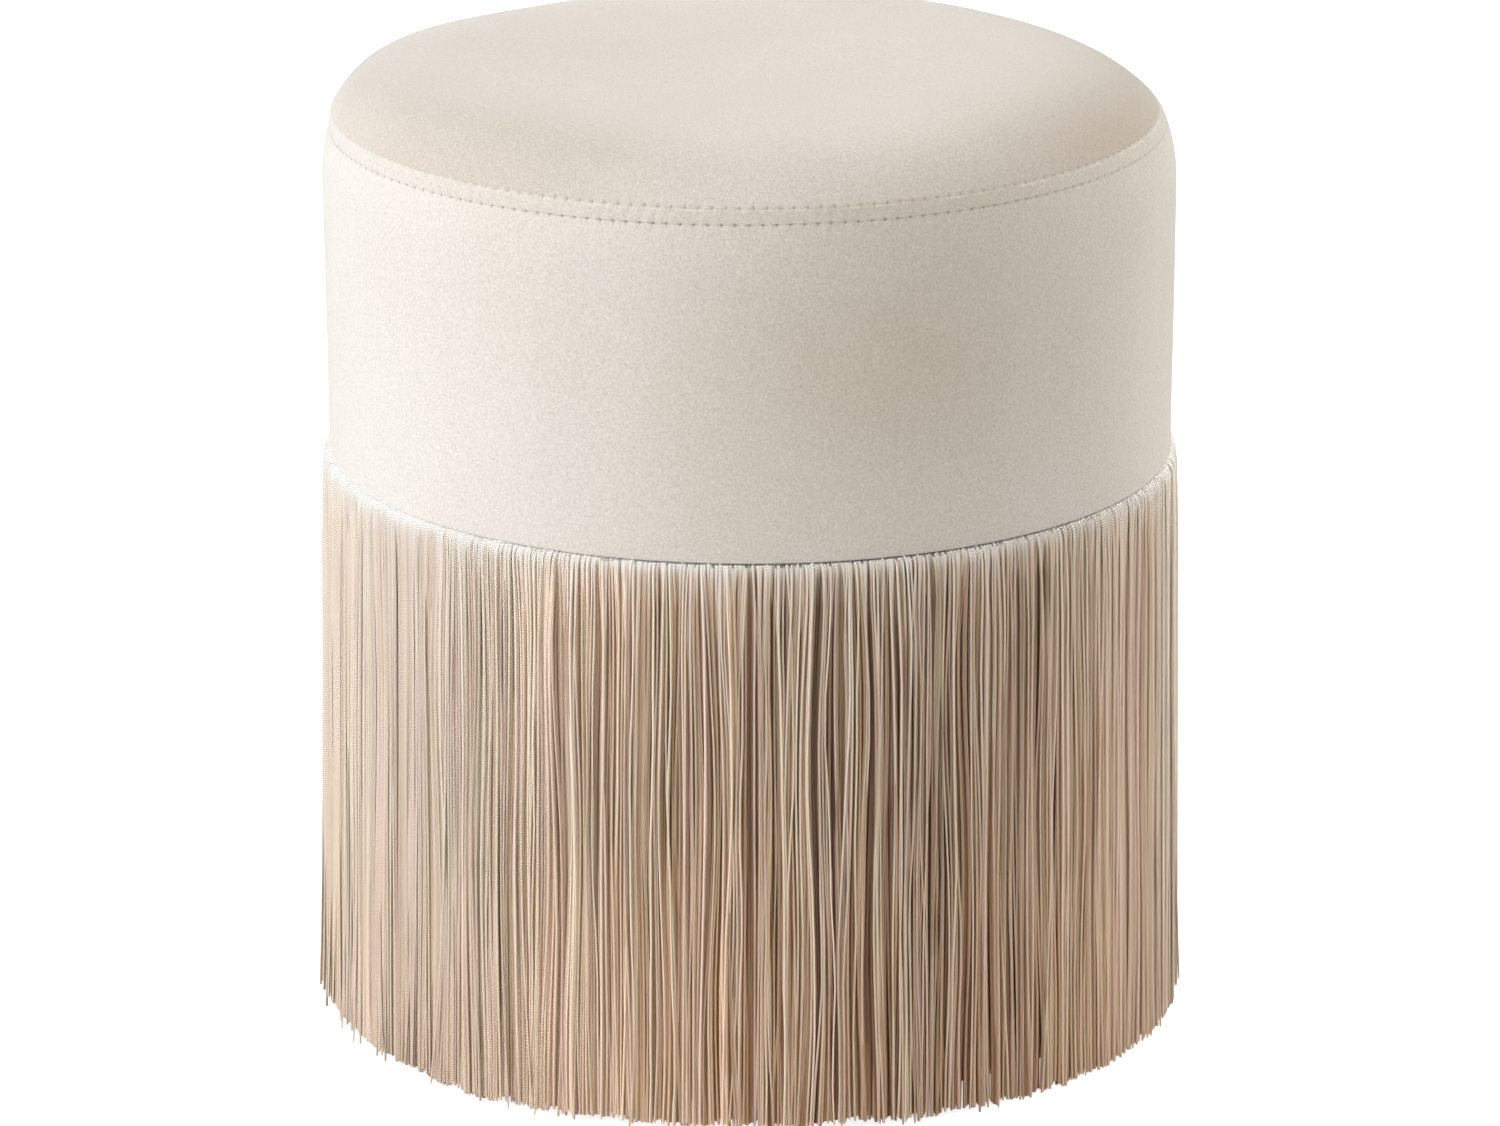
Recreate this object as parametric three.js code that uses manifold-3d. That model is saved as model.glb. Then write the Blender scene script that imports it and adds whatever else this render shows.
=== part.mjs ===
// A round upholstered tuffet. A drum of plywood boards, pine posts and bent hardboard carries a
// crowned foam seat. A velvet cover is sewn over it, and a corded fringe hangs from the hem of the
// velvet to just above the floor.
// Millimetres, +Z up. The origin is on the floor, under the middle of the seat. The front is -Y.

import * as THREE from "three";
import { mergeVertices } from "three/addons/utils/BufferGeometryUtils.js";
import Module from "manifold-3d";

const wasm = await Module();
wasm.setup();

// Overall sizes
const seatHeight = 435; // floor to the top of the crown
const seatRadius = 190; // the velvet side where it is fullest
const hemHeight = 257; // floor to the lower edge of the velvet, where the fringe starts
const clearance = 0.3; // between two pieces that lie against each other
const overrun = 2; // how far a cutter runs past the face that it cuts
const weldDistance = 0.001; // points closer than this are one point
const roundSides = 48; // facets round the drum

// Velvet cover: a crowned top panel, a flat strip between two rows of stitches, and a side band
const velvetThickness = 1.5;
const crownRise = 24; // the middle of the seat above the upper row of stitches
const crownPower = 9; // a higher power gives a flatter middle and a steeper edge
const stripHeight = 7.3; // between the two rows of stitches
const seamInset = 7.3; // the upper row inside the fullest radius
const shoulderInset = 4.9; // the lower row inside the fullest radius
const waistInset = 1.6; // the hem inside the fullest radius
const fullestShare = 0.85; // how far up the side band it is fullest
const crownStations = 6;
const bandStations = 6;

const seamHeight = seatHeight - crownRise;
const shoulderHeight = seamHeight - stripHeight;
const seamRadius = seatRadius - seamInset;
const shoulderRadius = seatRadius - shoulderInset;
const waistRadius = seatRadius - waistInset;
const topPanelRadius = seamRadius - velvetThickness - clearance;

// Underside, from the floor up: glides, dust cover, turned-in lining, base board
const glideHeight = 8;
const dustCoverThickness = 0.6;
const liningThickness = 1;
const boardThickness = 15;

const dustCoverBottom = glideHeight + clearance;
const liningBottom = dustCoverBottom + dustCoverThickness + clearance;
const baseBottom = liningBottom + liningThickness + clearance;
const baseTop = baseBottom + boardThickness;

// Seat, from the velvet down: wadding, foam, seat board
const waddingThickness = 5;
const foamDepth = 60; // at the middle of the seat

const waddingDrop = velvetThickness + clearance;
const foamDrop = waddingDrop + waddingThickness + clearance;
const foamBottom = seatHeight - foamDrop - foamDepth;
const seatBoardTop = foamBottom - clearance;
const seatBoardBottom = seatBoardTop - boardThickness;
const waddingInnerRadius = topPanelRadius - waddingThickness;
const foamRadius = waddingInnerRadius - clearance;

// Fringe: a woven heading behind the hem of the velvet, and the cords that hang from it
const headingHeight = 10;
const headingWrap = 0.55; // the tape on each side of the cords that it holds
const cordRadius = 1.3;
const cordPitch = 3.6;
const cordRoot = 1; // how far a cord runs up into the heading
const cordStandOff = 0.6; // the middle of a cord outside the waist, where it bulges over the hem
const cordBulgeDrop = 11; // the bulge below the hem
const fringeFlare = 5; // how much further out the cords hang at the floor
const fringeClearance = 3; // the longest cord above the floor
const raggedness = 7; // the shortest cord is this much shorter than the longest
const cordSway = 0.45; // how far a cord's end wanders sideways
const cordSides = 3;

const headingTop = hemHeight + headingHeight;
const headingRadius = waistRadius - velvetThickness - clearance;
const headingInnerRadius = headingRadius - 2 * (cordRadius + headingWrap);
const cordRootRadius = headingInnerRadius + cordRadius;

// Drum, from the heading in: lining, hardboard wall, boards
const wallThickness = 3;
const wallJointGap = 1.5; // the bent sheet meets itself at the back

const liningRadius = headingInnerRadius - clearance;
const liningInnerRadius = liningRadius - liningThickness;
const drumRadius = liningInnerRadius - clearance;
const wallInnerRadius = drumRadius - wallThickness;
const boardRadius = wallInnerRadius - clearance;

// Frame: six posts between the boards, and a hoop that backs the hem and the heading
const postCount = 6;
const postDepth = 22;
const postWidth = 42;
const hoopWidth = 40;
const liningTurnIn = 32; // how far the lining is turned in under the base

const turnInRadius = liningRadius - liningTurnIn;
const postReach = boardRadius * Math.cos(Math.PI / roundSides) - clearance; // to its outer edges
const postFace = Math.sqrt(postReach ** 2 - (postWidth / 2) ** 2);
const postMiddle = postFace - postDepth / 2;
const postBottom = baseTop + clearance;
const postLength = seatBoardBottom - clearance - postBottom;
const hoopBottom = headingTop - boardThickness;

// Screws and glides
const screwSides = 8;
const screwTip = 4;
const postScrewLength = 50;
const postScrewRadius = 2;
const postScrewHeadRadius = 4;
const glideCount = 4;
const glideInset = 10.6; // a glide's screw inside the edge of the turned-in lining
const glideRadius = 15;
const glideTaper = 2; // the sole is this much smaller in radius than the top
const glideSides = 16;
const glideScrewLength = 20;
const glideScrewRadius = 2;
const glideScrewHeadRadius = 4;
const glideScrewHeadHeight = 2.6;
const glideScrewRecess = 1.2; // the head above the sole
const dustCoverInset = 6; // the dust cover's edge inside the lining

const postScrewHeadHeight = postScrewHeadRadius - postScrewRadius;
const glideRingRadius = turnInRadius - glideInset;
const glideSeat = glideScrewRecess + glideScrewHeadHeight + clearance;
const dustCoverRadius = liningRadius - dustCoverInset;

// Materials
function fabric(colour, roughness) {
  return new THREE.MeshStandardMaterial({ color: colour, roughness, metalness: 0 });
}
const materials = {
  velvet: fabric(0xddd3c6, 0.85),
  fringe: fabric(0xcdb49a, 0.45),
  lining: fabric(0xb79e84, 0.9),
  foam: fabric(0xe9dfae, 0.95),
  wadding: fabric(0xf2f1ec, 1),
  dustCover: fabric(0x1d1d1f, 0.95),
  plywood: fabric(0xcfae7c, 0.7),
  pine: fabric(0xdcbb85, 0.7),
  hardboard: fabric(0x7a573a, 0.65),
  plastic: fabric(0x202124, 0.45),
  zinc: new THREE.MeshStandardMaterial({ color: 0xc4c7ca, roughness: 0.35, metalness: 1 }),
};

const tuffet = new THREE.Group();

// Helpers. A profile is a list of [radius, height] points that runs anticlockwise, so that its
// outer side goes up.
function revolve(profile, sides = roundSides) {
  const points = profile.map(([radius, height]) => new THREE.Vector2(radius, height));
  return new THREE.LatheGeometry(points, sides).rotateX(Math.PI / 2);
}

function revolveLoop(profile, sides = roundSides) {
  return revolve([...profile, profile[0]], sides);
}

// A wall that is bent round the drum between two angles, in facets that line up with the drum's
function bentWall(innerRadius, outerRadius, start, end, bottom, top) {
  const outline = new THREE.Shape();
  outline.absarc(0, 0, outerRadius, start, end, false);
  outline.absarc(0, 0, innerRadius, end, start, true);
  const facets = Math.round((roundSides * (end - start)) / (2 * Math.PI));
  const curveSegments = facets / 2; // an arc is drawn with two facets for each
  const wall = new THREE.ExtrudeGeometry(outline, { depth: top - bottom, bevelEnabled: false, curveSegments });
  return wall.translate(0, 0, bottom);
}

function solid(geometry) {
  const bare = geometry.clone();
  bare.deleteAttribute("normal");
  bare.deleteAttribute("uv");
  const merged = mergeVertices(bare, weldDistance);
  const mesh = new wasm.Mesh({
    numProp: 3,
    vertProperties: merged.attributes.position.array,
    triVerts: new Uint32Array(merged.index.array),
  });
  return new wasm.Manifold(mesh);
}

function surface(manifold) {
  const mesh = manifold.getMesh();
  const geometry = new THREE.BufferGeometry();
  geometry.setAttribute("position", new THREE.BufferAttribute(mesh.vertProperties, mesh.numProp));
  geometry.setIndex(new THREE.BufferAttribute(mesh.triVerts, 1));
  geometry.computeVertexNormals();
  return geometry;
}

function add(name, geometry, material, parent = tuffet) {
  const mesh = new THREE.Mesh(geometry, material);
  mesh.name = name;
  parent.add(mesh);
  return mesh;
}

function cylinder(radius, bottom, top, sides = screwSides) {
  return revolve([[0, bottom], [radius, bottom], [radius, top], [0, top]], sides);
}

// Shares from 0 to 1 that come closer together towards 1, where the cover turns in to its seams
function stationShares(stations) {
  return Array.from({ length: stations + 1 }, (_, i) => 1 - (1 - i / stations) ** 2);
}

// The seat's dome: flat in the middle and steep at its edge, from the middle out
function crownPoints(radius, drop) {
  const points = [];
  for (const share of stationShares(crownStations)) {
    const height = seamHeight - drop + crownRise * (1 - share ** crownPower);
    points.push([radius * share, height]);
  }
  return points;
}

// The outside of the velvet band, at a share of the way up from its hem
function bandRadius(share) {
  const swell = Math.sin((Math.PI / 2) * Math.min(1, share / fullestShare)) ** 2;
  const turn = Math.max(0, (share - fullestShare) / (1 - fullestShare)) ** 2;
  return waistRadius + waistInset * swell - shoulderInset * turn;
}

function bandPoints(bottom, inset) {
  const stations = stationShares(bandStations).map((share) => [
    bandRadius(share) - inset,
    hemHeight + (shoulderHeight - hemHeight) * share,
  ]);
  const [[lowRadius, lowHeight], [nextRadius, nextHeight]] = stations;
  const part = (bottom - lowHeight) / (nextHeight - lowHeight);
  const above = stations.filter(([, height]) => height > bottom);
  return [[lowRadius + (nextRadius - lowRadius) * part, bottom], ...above];
}

// Velvet cover
function topPanel() {
  const under = crownPoints(topPanelRadius, velvetThickness);
  const over = crownPoints(topPanelRadius, 0);
  return revolve([...under, ...over.reverse()]);
}

function seamStrip() {
  return revolveLoop([
    [shoulderRadius - velvetThickness, shoulderHeight + clearance],
    [shoulderRadius, shoulderHeight + clearance],
    [seamRadius, seamHeight],
    [seamRadius - velvetThickness, seamHeight],
  ]);
}

function sideBand() {
  const outside = bandPoints(hemHeight, 0);
  const inside = bandPoints(hemHeight, velvetThickness);
  return revolveLoop([...outside, ...inside.reverse()]);
}

add("velvet_top_panel", topPanel(), materials.velvet);
add("velvet_seam_strip", seamStrip(), materials.velvet);
add("velvet_side_band", sideBand(), materials.velvet);

// Padding under the velvet
function seatWadding() {
  const shoulderInnerRadius = shoulderRadius - velvetThickness - clearance;
  const under = crownPoints(waddingInnerRadius, waddingDrop + waddingThickness);
  const over = crownPoints(topPanelRadius, waddingDrop);
  const skirt = [
    [waddingInnerRadius, foamBottom],
    [drumRadius, foamBottom],
    [drumRadius, shoulderHeight + clearance],
    [shoulderInnerRadius, shoulderHeight + clearance],
  ];
  return revolve([...under, ...skirt, ...over.reverse()]);
}

function seatFoam() {
  const over = crownPoints(foamRadius, foamDrop);
  return revolve([[0, foamBottom], [foamRadius, foamBottom], ...over.reverse()]);
}

function sidePadding() {
  const bottom = headingTop + clearance;
  const outside = bandPoints(bottom, velvetThickness + clearance);
  return revolveLoop([
    [liningInnerRadius, bottom],
    ...outside,
    [liningInnerRadius, shoulderHeight],
  ]);
}

add("seat_wadding", seatWadding(), materials.wadding);
add("seat_foam", seatFoam(), materials.foam);
add("side_padding", sidePadding(), materials.foam);

// The bent hardboard wall, whose two edges meet at the back
function drumWall() {
  const halfGap = wallJointGap / 2 / drumRadius;
  const start = Math.PI / 2 + halfGap;
  const end = start + 2 * (Math.PI - halfGap);
  return bentWall(wallInnerRadius, drumRadius, start, end, baseBottom, seatBoardTop);
}

add("drum_wall", drumWall(), materials.hardboard);

// A countersunk wood screw, its tip at the origin and its head up, and the hole that it goes in
function postScrew() {
  const neck = postScrewLength - postScrewHeadHeight;
  return revolve([
    [0, 0],
    [postScrewRadius, screwTip],
    [postScrewRadius, neck],
    [postScrewHeadRadius, postScrewLength],
    [0, postScrewLength],
  ], screwSides);
}

function postScrewHole() {
  const neck = postScrewLength - postScrewHeadHeight;
  return revolve([
    [0, -clearance],
    [postScrewRadius + clearance, -clearance],
    [postScrewRadius + clearance, neck],
    [postScrewHeadRadius + clearance, postScrewLength],
    [postScrewHeadRadius + clearance, postScrewLength + overrun],
    [0, postScrewLength + overrun],
  ], screwSides);
}

function turned(count, index) {
  return (2 * Math.PI * (index + 1 / 2)) / count;
}

const upperScrewTip = seatBoardTop - clearance - postScrewLength;
const lowerScrewTip = baseBottom + clearance + postScrewLength;

function upperScrewHole() {
  return postScrewHole().translate(postMiddle, 0, upperScrewTip);
}

function lowerScrewHole() {
  return postScrewHole().rotateX(Math.PI).translate(postMiddle, 0, lowerScrewTip);
}

// A round plywood board, with the holes that are cut through it
function board(bottom, holes) {
  const blank = cylinder(boardRadius, bottom, bottom + boardThickness, roundSides);
  const cut = holes.reduce((rest, hole) => rest.subtract(solid(hole)), solid(blank));
  return surface(cut);
}

function postAngles() {
  return Array.from({ length: postCount }, (_, i) => turned(postCount, i));
}

function glideAngles() {
  return Array.from({ length: glideCount }, (_, i) => turned(glideCount, i));
}

function glideScrewHole() {
  const top = glideScrewRecess + glideScrewLength + clearance;
  const hole = cylinder(glideScrewRadius + clearance, baseBottom - overrun, top);
  return hole.translate(glideRingRadius, 0, 0);
}

const seatBoardHoles = postAngles().map((angle) => upperScrewHole().rotateZ(angle));
const baseBoardHoles = [
  ...postAngles().map((angle) => lowerScrewHole().rotateZ(angle)),
  ...glideAngles().map((angle) => glideScrewHole().rotateZ(angle)),
];
add("seat_board", board(seatBoardBottom, seatBoardHoles), materials.plywood);
add("base_board", board(baseBottom, baseBoardHoles), materials.plywood);

// The hoop is notched at its outer edge, where the posts pass
function hoop() {
  const hoopTop = hoopBottom + boardThickness;
  const ring = revolveLoop([
    [boardRadius - hoopWidth, hoopBottom],
    [boardRadius, hoopBottom],
    [boardRadius, hoopTop],
    [boardRadius - hoopWidth, hoopTop],
  ]);
  const notchInner = postFace - postDepth - clearance;
  const notchDepth = boardRadius + overrun - notchInner;
  const notchWidth = postWidth + 2 * clearance;
  const notchHeight = boardThickness + 2 * overrun;
  let rest = solid(ring);
  for (const angle of postAngles()) {
    const notch = new THREE.BoxGeometry(notchDepth, notchWidth, notchHeight);
    notch.translate(notchInner + notchDepth / 2, 0, hoopBottom + boardThickness / 2);
    rest = rest.subtract(solid(notch.rotateZ(angle)));
  }
  return surface(rest);
}

add("middle_hoop", hoop(), materials.plywood);

// A post stands upright between the boards, with a screw into each end
function post() {
  const blank = new THREE.BoxGeometry(postDepth, postWidth, postLength);
  blank.translate(postMiddle, 0, postBottom + postLength / 2);
  const bored = solid(blank).subtract(solid(upperScrewHole())).subtract(solid(lowerScrewHole()));
  return surface(bored);
}

postAngles().forEach((angle, i) => {
  const bay = new THREE.Group();
  bay.rotation.z = angle;
  tuffet.add(bay);
  add(`post_${i + 1}`, post(), materials.pine, bay);
  const upper = add(`seat_board_screw_${i + 1}`, postScrew(), materials.zinc, bay);
  upper.position.set(postMiddle, 0, upperScrewTip);
  const lower = add(`base_board_screw_${i + 1}`, postScrew(), materials.zinc, bay);
  lower.position.set(postMiddle, 0, lowerScrewTip);
  lower.rotation.x = Math.PI;
});

// The lining behind the fringe, turned in under the base board
function lining() {
  const shelf = liningBottom + liningThickness;
  return revolveLoop([
    [turnInRadius, liningBottom],
    [liningRadius, liningBottom],
    [liningRadius, headingTop],
    [liningInnerRadius, headingTop],
    [liningInnerRadius, shelf],
    [turnInRadius, shelf],
  ]);
}

function dustCover() {
  const top = dustCoverBottom + dustCoverThickness;
  let sheet = solid(cylinder(dustCoverRadius, dustCoverBottom, top, roundSides));
  for (const angle of glideAngles()) {
    const hole = cylinder(glideScrewRadius + clearance, dustCoverBottom - overrun, top + overrun);
    sheet = sheet.subtract(solid(hole.translate(glideRingRadius, 0, 0).rotateZ(angle)));
  }
  return surface(sheet);
}

add("side_lining", lining(), materials.lining);
add("dust_cover", dustCover(), materials.dustCover);

// A plastic glide, with a counterbore in its sole for the screw's head
function glide() {
  const bore = glideScrewRadius + clearance;
  const counterbore = glideScrewHeadRadius + clearance;
  return revolveLoop([
    [bore, glideSeat],
    [counterbore, glideSeat],
    [counterbore, 0],
    [glideRadius - glideTaper, 0],
    [glideRadius, glideHeight / 2],
    [glideRadius, glideHeight],
    [bore, glideHeight],
  ], glideSides);
}

function glideScrew() {
  const neck = glideScrewLength - glideScrewHeadHeight;
  return revolve([
    [0, 0],
    [glideScrewRadius, screwTip],
    [glideScrewRadius, neck],
    [glideScrewHeadRadius, neck],
    [glideScrewHeadRadius, glideScrewLength],
    [0, glideScrewLength],
  ], screwSides);
}

glideAngles().forEach((angle, i) => {
  const corner = new THREE.Group();
  corner.rotation.z = angle;
  tuffet.add(corner);
  add(`glide_${i + 1}`, glide(), materials.plastic, corner).position.x = glideRingRadius;
  const screw = add(`glide_screw_${i + 1}`, glideScrew(), materials.zinc, corner);
  screw.position.set(glideRingRadius, 0, glideScrewRecess + glideScrewLength);
  screw.rotation.x = Math.PI;
});

// The same scatter on each run: a value from 0 to 1 for each whole number
function scatter(seed) {
  const wave = Math.sin(seed * 12.9898) * 43758.5453;
  return wave - Math.floor(wave);
}

// One cord: a prism that leaves the heading, bulges over the hem and hangs to the floor.
// Each station gives the middle of the cord as [radius, sideways, height].
function cord(angle, seed) {
  const stations = [
    [cordRootRadius, 0, hemHeight + cordRoot],
    [waistRadius + cordStandOff, 0, hemHeight - cordBulgeDrop],
    [
      waistRadius + cordStandOff + fringeFlare,
      cordSway * (2 * scatter(2 * seed) - 1),
      fringeClearance + raggedness * scatter(2 * seed + 1) ** 2,
    ],
  ];
  const points = [];
  for (const [radius, sideways, height] of stations) {
    for (let k = 0; k < cordSides; k += 1) {
      const turn = (2 * Math.PI * k) / cordSides;
      points.push(radius + cordRadius * Math.cos(turn), sideways + cordRadius * Math.sin(turn), height);
    }
  }
  const last = (stations.length - 1) * cordSides;
  const faces = [];
  for (let k = 1; k < cordSides - 1; k += 1) {
    faces.push(0, k, k + 1, last, last + k + 1, last + k);
  }
  for (let s = 0; s < stations.length - 1; s += 1) {
    for (let k = 0; k < cordSides; k += 1) {
      const next = (k + 1) % cordSides;
      const a = s * cordSides + k;
      const b = s * cordSides + next;
      faces.push(a, a + cordSides, b, b, a + cordSides, b + cordSides);
    }
  }
  const geometry = new THREE.BufferGeometry();
  geometry.setAttribute("position", new THREE.Float32BufferAttribute(points, 3));
  geometry.setIndex(faces);
  return geometry.rotateZ(angle);
}

// A quarter of the fringe, the first one at the front: a slice of heading with its cords
function fringeQuarter(quarter) {
  const middle = (quarter - 1) * (Math.PI / 2);
  const trim = clearance / 2 / headingRadius;
  const start = middle - Math.PI / 4 + trim;
  const end = middle + Math.PI / 4 - trim;
  const heading = bentWall(headingInnerRadius, headingRadius, start, end, hemHeight, headingTop);
  const count = Math.floor(((Math.PI / 2) * headingRadius) / cordPitch);
  let fringe = solid(heading);
  for (let i = 0; i < count; i += 1) {
    const angle = start + ((end - start) * (i + 1 / 2)) / count;
    fringe = fringe.add(solid(cord(angle, quarter * count + i)));
  }
  return surface(fringe);
}

["front", "right", "back", "left"].forEach((side, quarter) => {
  add(`fringe_${side}`, fringeQuarter(quarter), materials.fringe);
});

export default tuffet;
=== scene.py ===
import math

import bpy
import numpy as np
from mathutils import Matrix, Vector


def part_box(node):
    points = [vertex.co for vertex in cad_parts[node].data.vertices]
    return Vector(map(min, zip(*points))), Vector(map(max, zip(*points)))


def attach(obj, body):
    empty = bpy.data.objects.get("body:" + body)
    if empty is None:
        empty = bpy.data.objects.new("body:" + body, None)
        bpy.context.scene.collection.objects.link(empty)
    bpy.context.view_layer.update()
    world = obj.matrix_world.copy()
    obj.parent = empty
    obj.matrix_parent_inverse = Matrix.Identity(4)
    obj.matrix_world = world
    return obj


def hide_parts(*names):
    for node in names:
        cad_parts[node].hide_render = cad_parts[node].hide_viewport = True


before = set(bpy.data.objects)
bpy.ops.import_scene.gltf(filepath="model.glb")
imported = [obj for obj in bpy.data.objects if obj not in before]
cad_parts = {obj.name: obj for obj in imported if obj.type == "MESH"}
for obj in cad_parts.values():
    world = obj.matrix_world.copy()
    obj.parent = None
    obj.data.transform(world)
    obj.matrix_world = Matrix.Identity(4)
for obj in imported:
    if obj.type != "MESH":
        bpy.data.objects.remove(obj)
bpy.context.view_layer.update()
random = np.random.default_rng(7)

# Camera. It stands in front and looks down on the seat from far off through a long lens, so the
# drum keeps nearly parallel sides. The floor is at z = 0 and the front of the tuffet is -Y.
CAMERA_DISTANCE = 3.034
CAMERA_HEIGHT = 1.1525
CAMERA_TILT = 0.3047
CAMERA_LENS = 169.3
CAMERA_REACH = 50

scene = bpy.context.scene
camera = bpy.data.objects.new("camera", bpy.data.cameras.new("camera"))
camera.data.lens = CAMERA_LENS
camera.data.clip_end = CAMERA_REACH
camera.location = (0, -CAMERA_DISTANCE, CAMERA_HEIGHT)
camera.rotation_euler = (math.pi / 2 - CAMERA_TILT, 0, 0)
scene.collection.objects.link(camera)
scene.camera = camera

# Studio. A broad low key comes from the left, a second from the right rear, a weaker one from high
# behind, and one from high in front. The floor and room are white to the camera, and the floor
# keeps the tuffet's shadow.
WHITE = (1, 1, 1, 1)
ROOM_FILL = 0.1
FLOOR_HALF = 30
FLOOR_COLOUR = (0.9, 0.9, 0.9, 1)
FLOOR_GLOW = 0.85
scene.view_settings.view_transform = "Standard"


def sun(name, azimuth, elevation, strength, colour, spread):
    """A far lamp. The azimuth is degrees to the right of the front, and the spread its softness."""
    lamp = bpy.data.objects.new(name, bpy.data.lights.new(name, "SUN"))
    lamp.data.energy = strength
    lamp.data.color = colour
    lamp.data.angle = math.radians(spread)
    lamp.rotation_euler = (math.radians(90 - elevation), 0, math.radians(azimuth))
    scene.collection.objects.link(lamp)


sun("key_lamp", -80, 15, 3.25, (0.93, 0.965, 1.0), 50)
sun("right_lamp", 130, 20, 1.83, (1.0, 0.975, 0.89), 45)
sun("rear_lamp", 180, 50, 0.6, (0.78, 0.88, 1.0), 45)
sun("front_lamp", 0, 65, 1.5, (1.0, 0.92, 0.8), 45)


def preset(node, inputs):
    """Sets inputs of a node, each by its name or its number."""
    for key, value in inputs.items():
        node.inputs[key].default_value = value
    return node


def add(tree, kind, inputs={}, operation=None):
    """A new node of a tree, with its operation and some of its inputs set."""
    node = tree.nodes.new(kind)
    if operation:
        node.operation = operation
    return preset(node, inputs)


def wire(tree, *wires):
    """Joins nodes of a tree. A wire is a node and its output, then a node and its input."""
    for source, output, target, entry in wires:
        tree.links.new(source.outputs[output], target.inputs[entry])


def finish(name, inputs):
    """A new material with its node tree, and its shader with some inputs set."""
    material = bpy.data.materials.new(name)
    material.use_nodes = True
    tree = material.node_tree
    return material, tree, preset(tree.nodes["Principled BSDF"], inputs)


world = bpy.data.worlds.new("white_room")
scene.world = world
world.use_nodes = True
room = world.node_tree
fill = preset(room.nodes["Background"], {"Color": WHITE, "Strength": ROOM_FILL})
backdrop = add(room, "ShaderNodeBackground", {"Color": WHITE, "Strength": 1})
seen = add(room, "ShaderNodeLightPath")
direct = add(room, "ShaderNodeMath", operation="MAXIMUM")
either = add(room, "ShaderNodeMath", operation="MAXIMUM")
choose = add(room, "ShaderNodeMixShader")
wire(room,
     (seen, "Is Camera Ray", direct, 0), (seen, "Is Transmission Ray", direct, 1),
     (direct, "Value", either, 0), (seen, "Is Glossy Ray", either, 1),
     (either, "Value", choose, "Fac"), (fill, "Background", choose, 1),
     (backdrop, "Background", choose, 2), (choose, "Shader", room.nodes["World Output"], "Surface"))

floor_mesh = bpy.data.meshes.new("floor")
floor_corners = [(-FLOOR_HALF, -FLOOR_HALF, 0), (FLOOR_HALF, -FLOOR_HALF, 0),
                 (FLOOR_HALF, FLOOR_HALF, 0), (-FLOOR_HALF, FLOOR_HALF, 0)]
floor_mesh.from_pydata(floor_corners, [], [(0, 1, 2, 3)])
floor = bpy.data.objects.new("floor", floor_mesh)
scene.collection.objects.link(floor)
floor_paint, floor_tree, floor_shader = finish("white_floor", {
    "Base Color": FLOOR_COLOUR, "Roughness": 0.9, "Emission Color": WHITE})
floor_seen = add(floor_tree, "ShaderNodeLightPath")
floor_glow = add(floor_tree, "ShaderNodeMath", {1: FLOOR_GLOW}, "MULTIPLY")
wire(floor_tree, (floor_seen, "Is Camera Ray", floor_glow, 0),
     (floor_glow, "Value", floor_shader, "Emission Strength"))
floor.data.materials.append(floor_paint)

# Drum frame. Two plywood boards, six pine posts, a plywood hoop behind the hem and a wall of thin
# hardboard bent round them. The boards are screwed to the posts through their faces.
POSTS = [f"post_{i}" for i in range(1, 7)]
POST_SCREWS = [f"{board}_board_screw_{i}" for board in ("seat", "base") for i in range(1, 7)]
GLIDE_SCREWS = [f"glide_screw_{i}" for i in range(1, 5)]
VENEER = 0.0014
VENEER_SHADE = 0.72


def paint(material, *nodes):
    """Gives the frame's own pieces a material in place of their plain one."""
    for node in nodes:
        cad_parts[node].material_slots[0].material = material


def ramp(tree, first, first_colour, second, second_colour):
    """A ramp between two colours, each at its place on the scale from 0 to 1."""
    made = add(tree, "ShaderNodeValToRGB")
    start, end = made.color_ramp.elements
    start.position = first
    start.color = first_colour
    end.position = second
    end.color = second_colour
    return made


def grained(name, dark, pale, stretch, roughness, relief):
    """A ground between two colours, by a noise of Object coordinates that is stretched by a scale
    on each axis: long along a grain, and even in a board of pressed fibre. The same noise lifts
    the surface by the relief in metres."""
    material, tree, shader = finish(name, {"Roughness": roughness})
    place = add(tree, "ShaderNodeTexCoord")
    along = add(tree, "ShaderNodeMapping", {"Scale": stretch})
    grain = add(tree, "ShaderNodeTexNoise", {"Scale": 1, "Detail": 5, "Distortion": 0.5})
    ground = ramp(tree, 0.35, dark, 0.65, pale)
    lift = add(tree, "ShaderNodeBump", {"Strength": 0.4, "Distance": relief})
    wire(tree,
         (place, "Object", along, "Vector"), (along, "Vector", grain, "Vector"),
         (grain, "Fac", ground, "Fac"), (ground, "Color", shader, "Base Color"),
         (grain, "Fac", lift, "Height"), (lift, "Normal", shader, "Normal"))
    return material


def plies(material, thickness):
    """Darkens every second veneer of a plywood, by the height over the veneer's thickness."""
    tree = material.node_tree
    shader = tree.nodes["Principled BSDF"]
    face = shader.inputs["Base Color"].links[0].from_node
    place = add(tree, "ShaderNodeTexCoord")
    height = add(tree, "ShaderNodeSeparateXYZ")
    veneer = add(tree, "ShaderNodeMath", {1: thickness}, "PINGPONG")
    share = add(tree, "ShaderNodeMapRange", {
        "From Min": 0.4 * thickness, "From Max": 0.6 * thickness, "To Min": VENEER_SHADE, "To Max": 1})
    edge = add(tree, "ShaderNodeVectorMath", operation="SCALE")
    wire(tree,
         (place, "Object", height, "Vector"), (height, "Z", veneer, 0),
         (veneer, "Value", share, "Value"), (face, "Color", edge, 0),
         (share, "Result", edge, "Scale"), (edge, "Vector", shader, "Base Color"))
    return material


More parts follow.
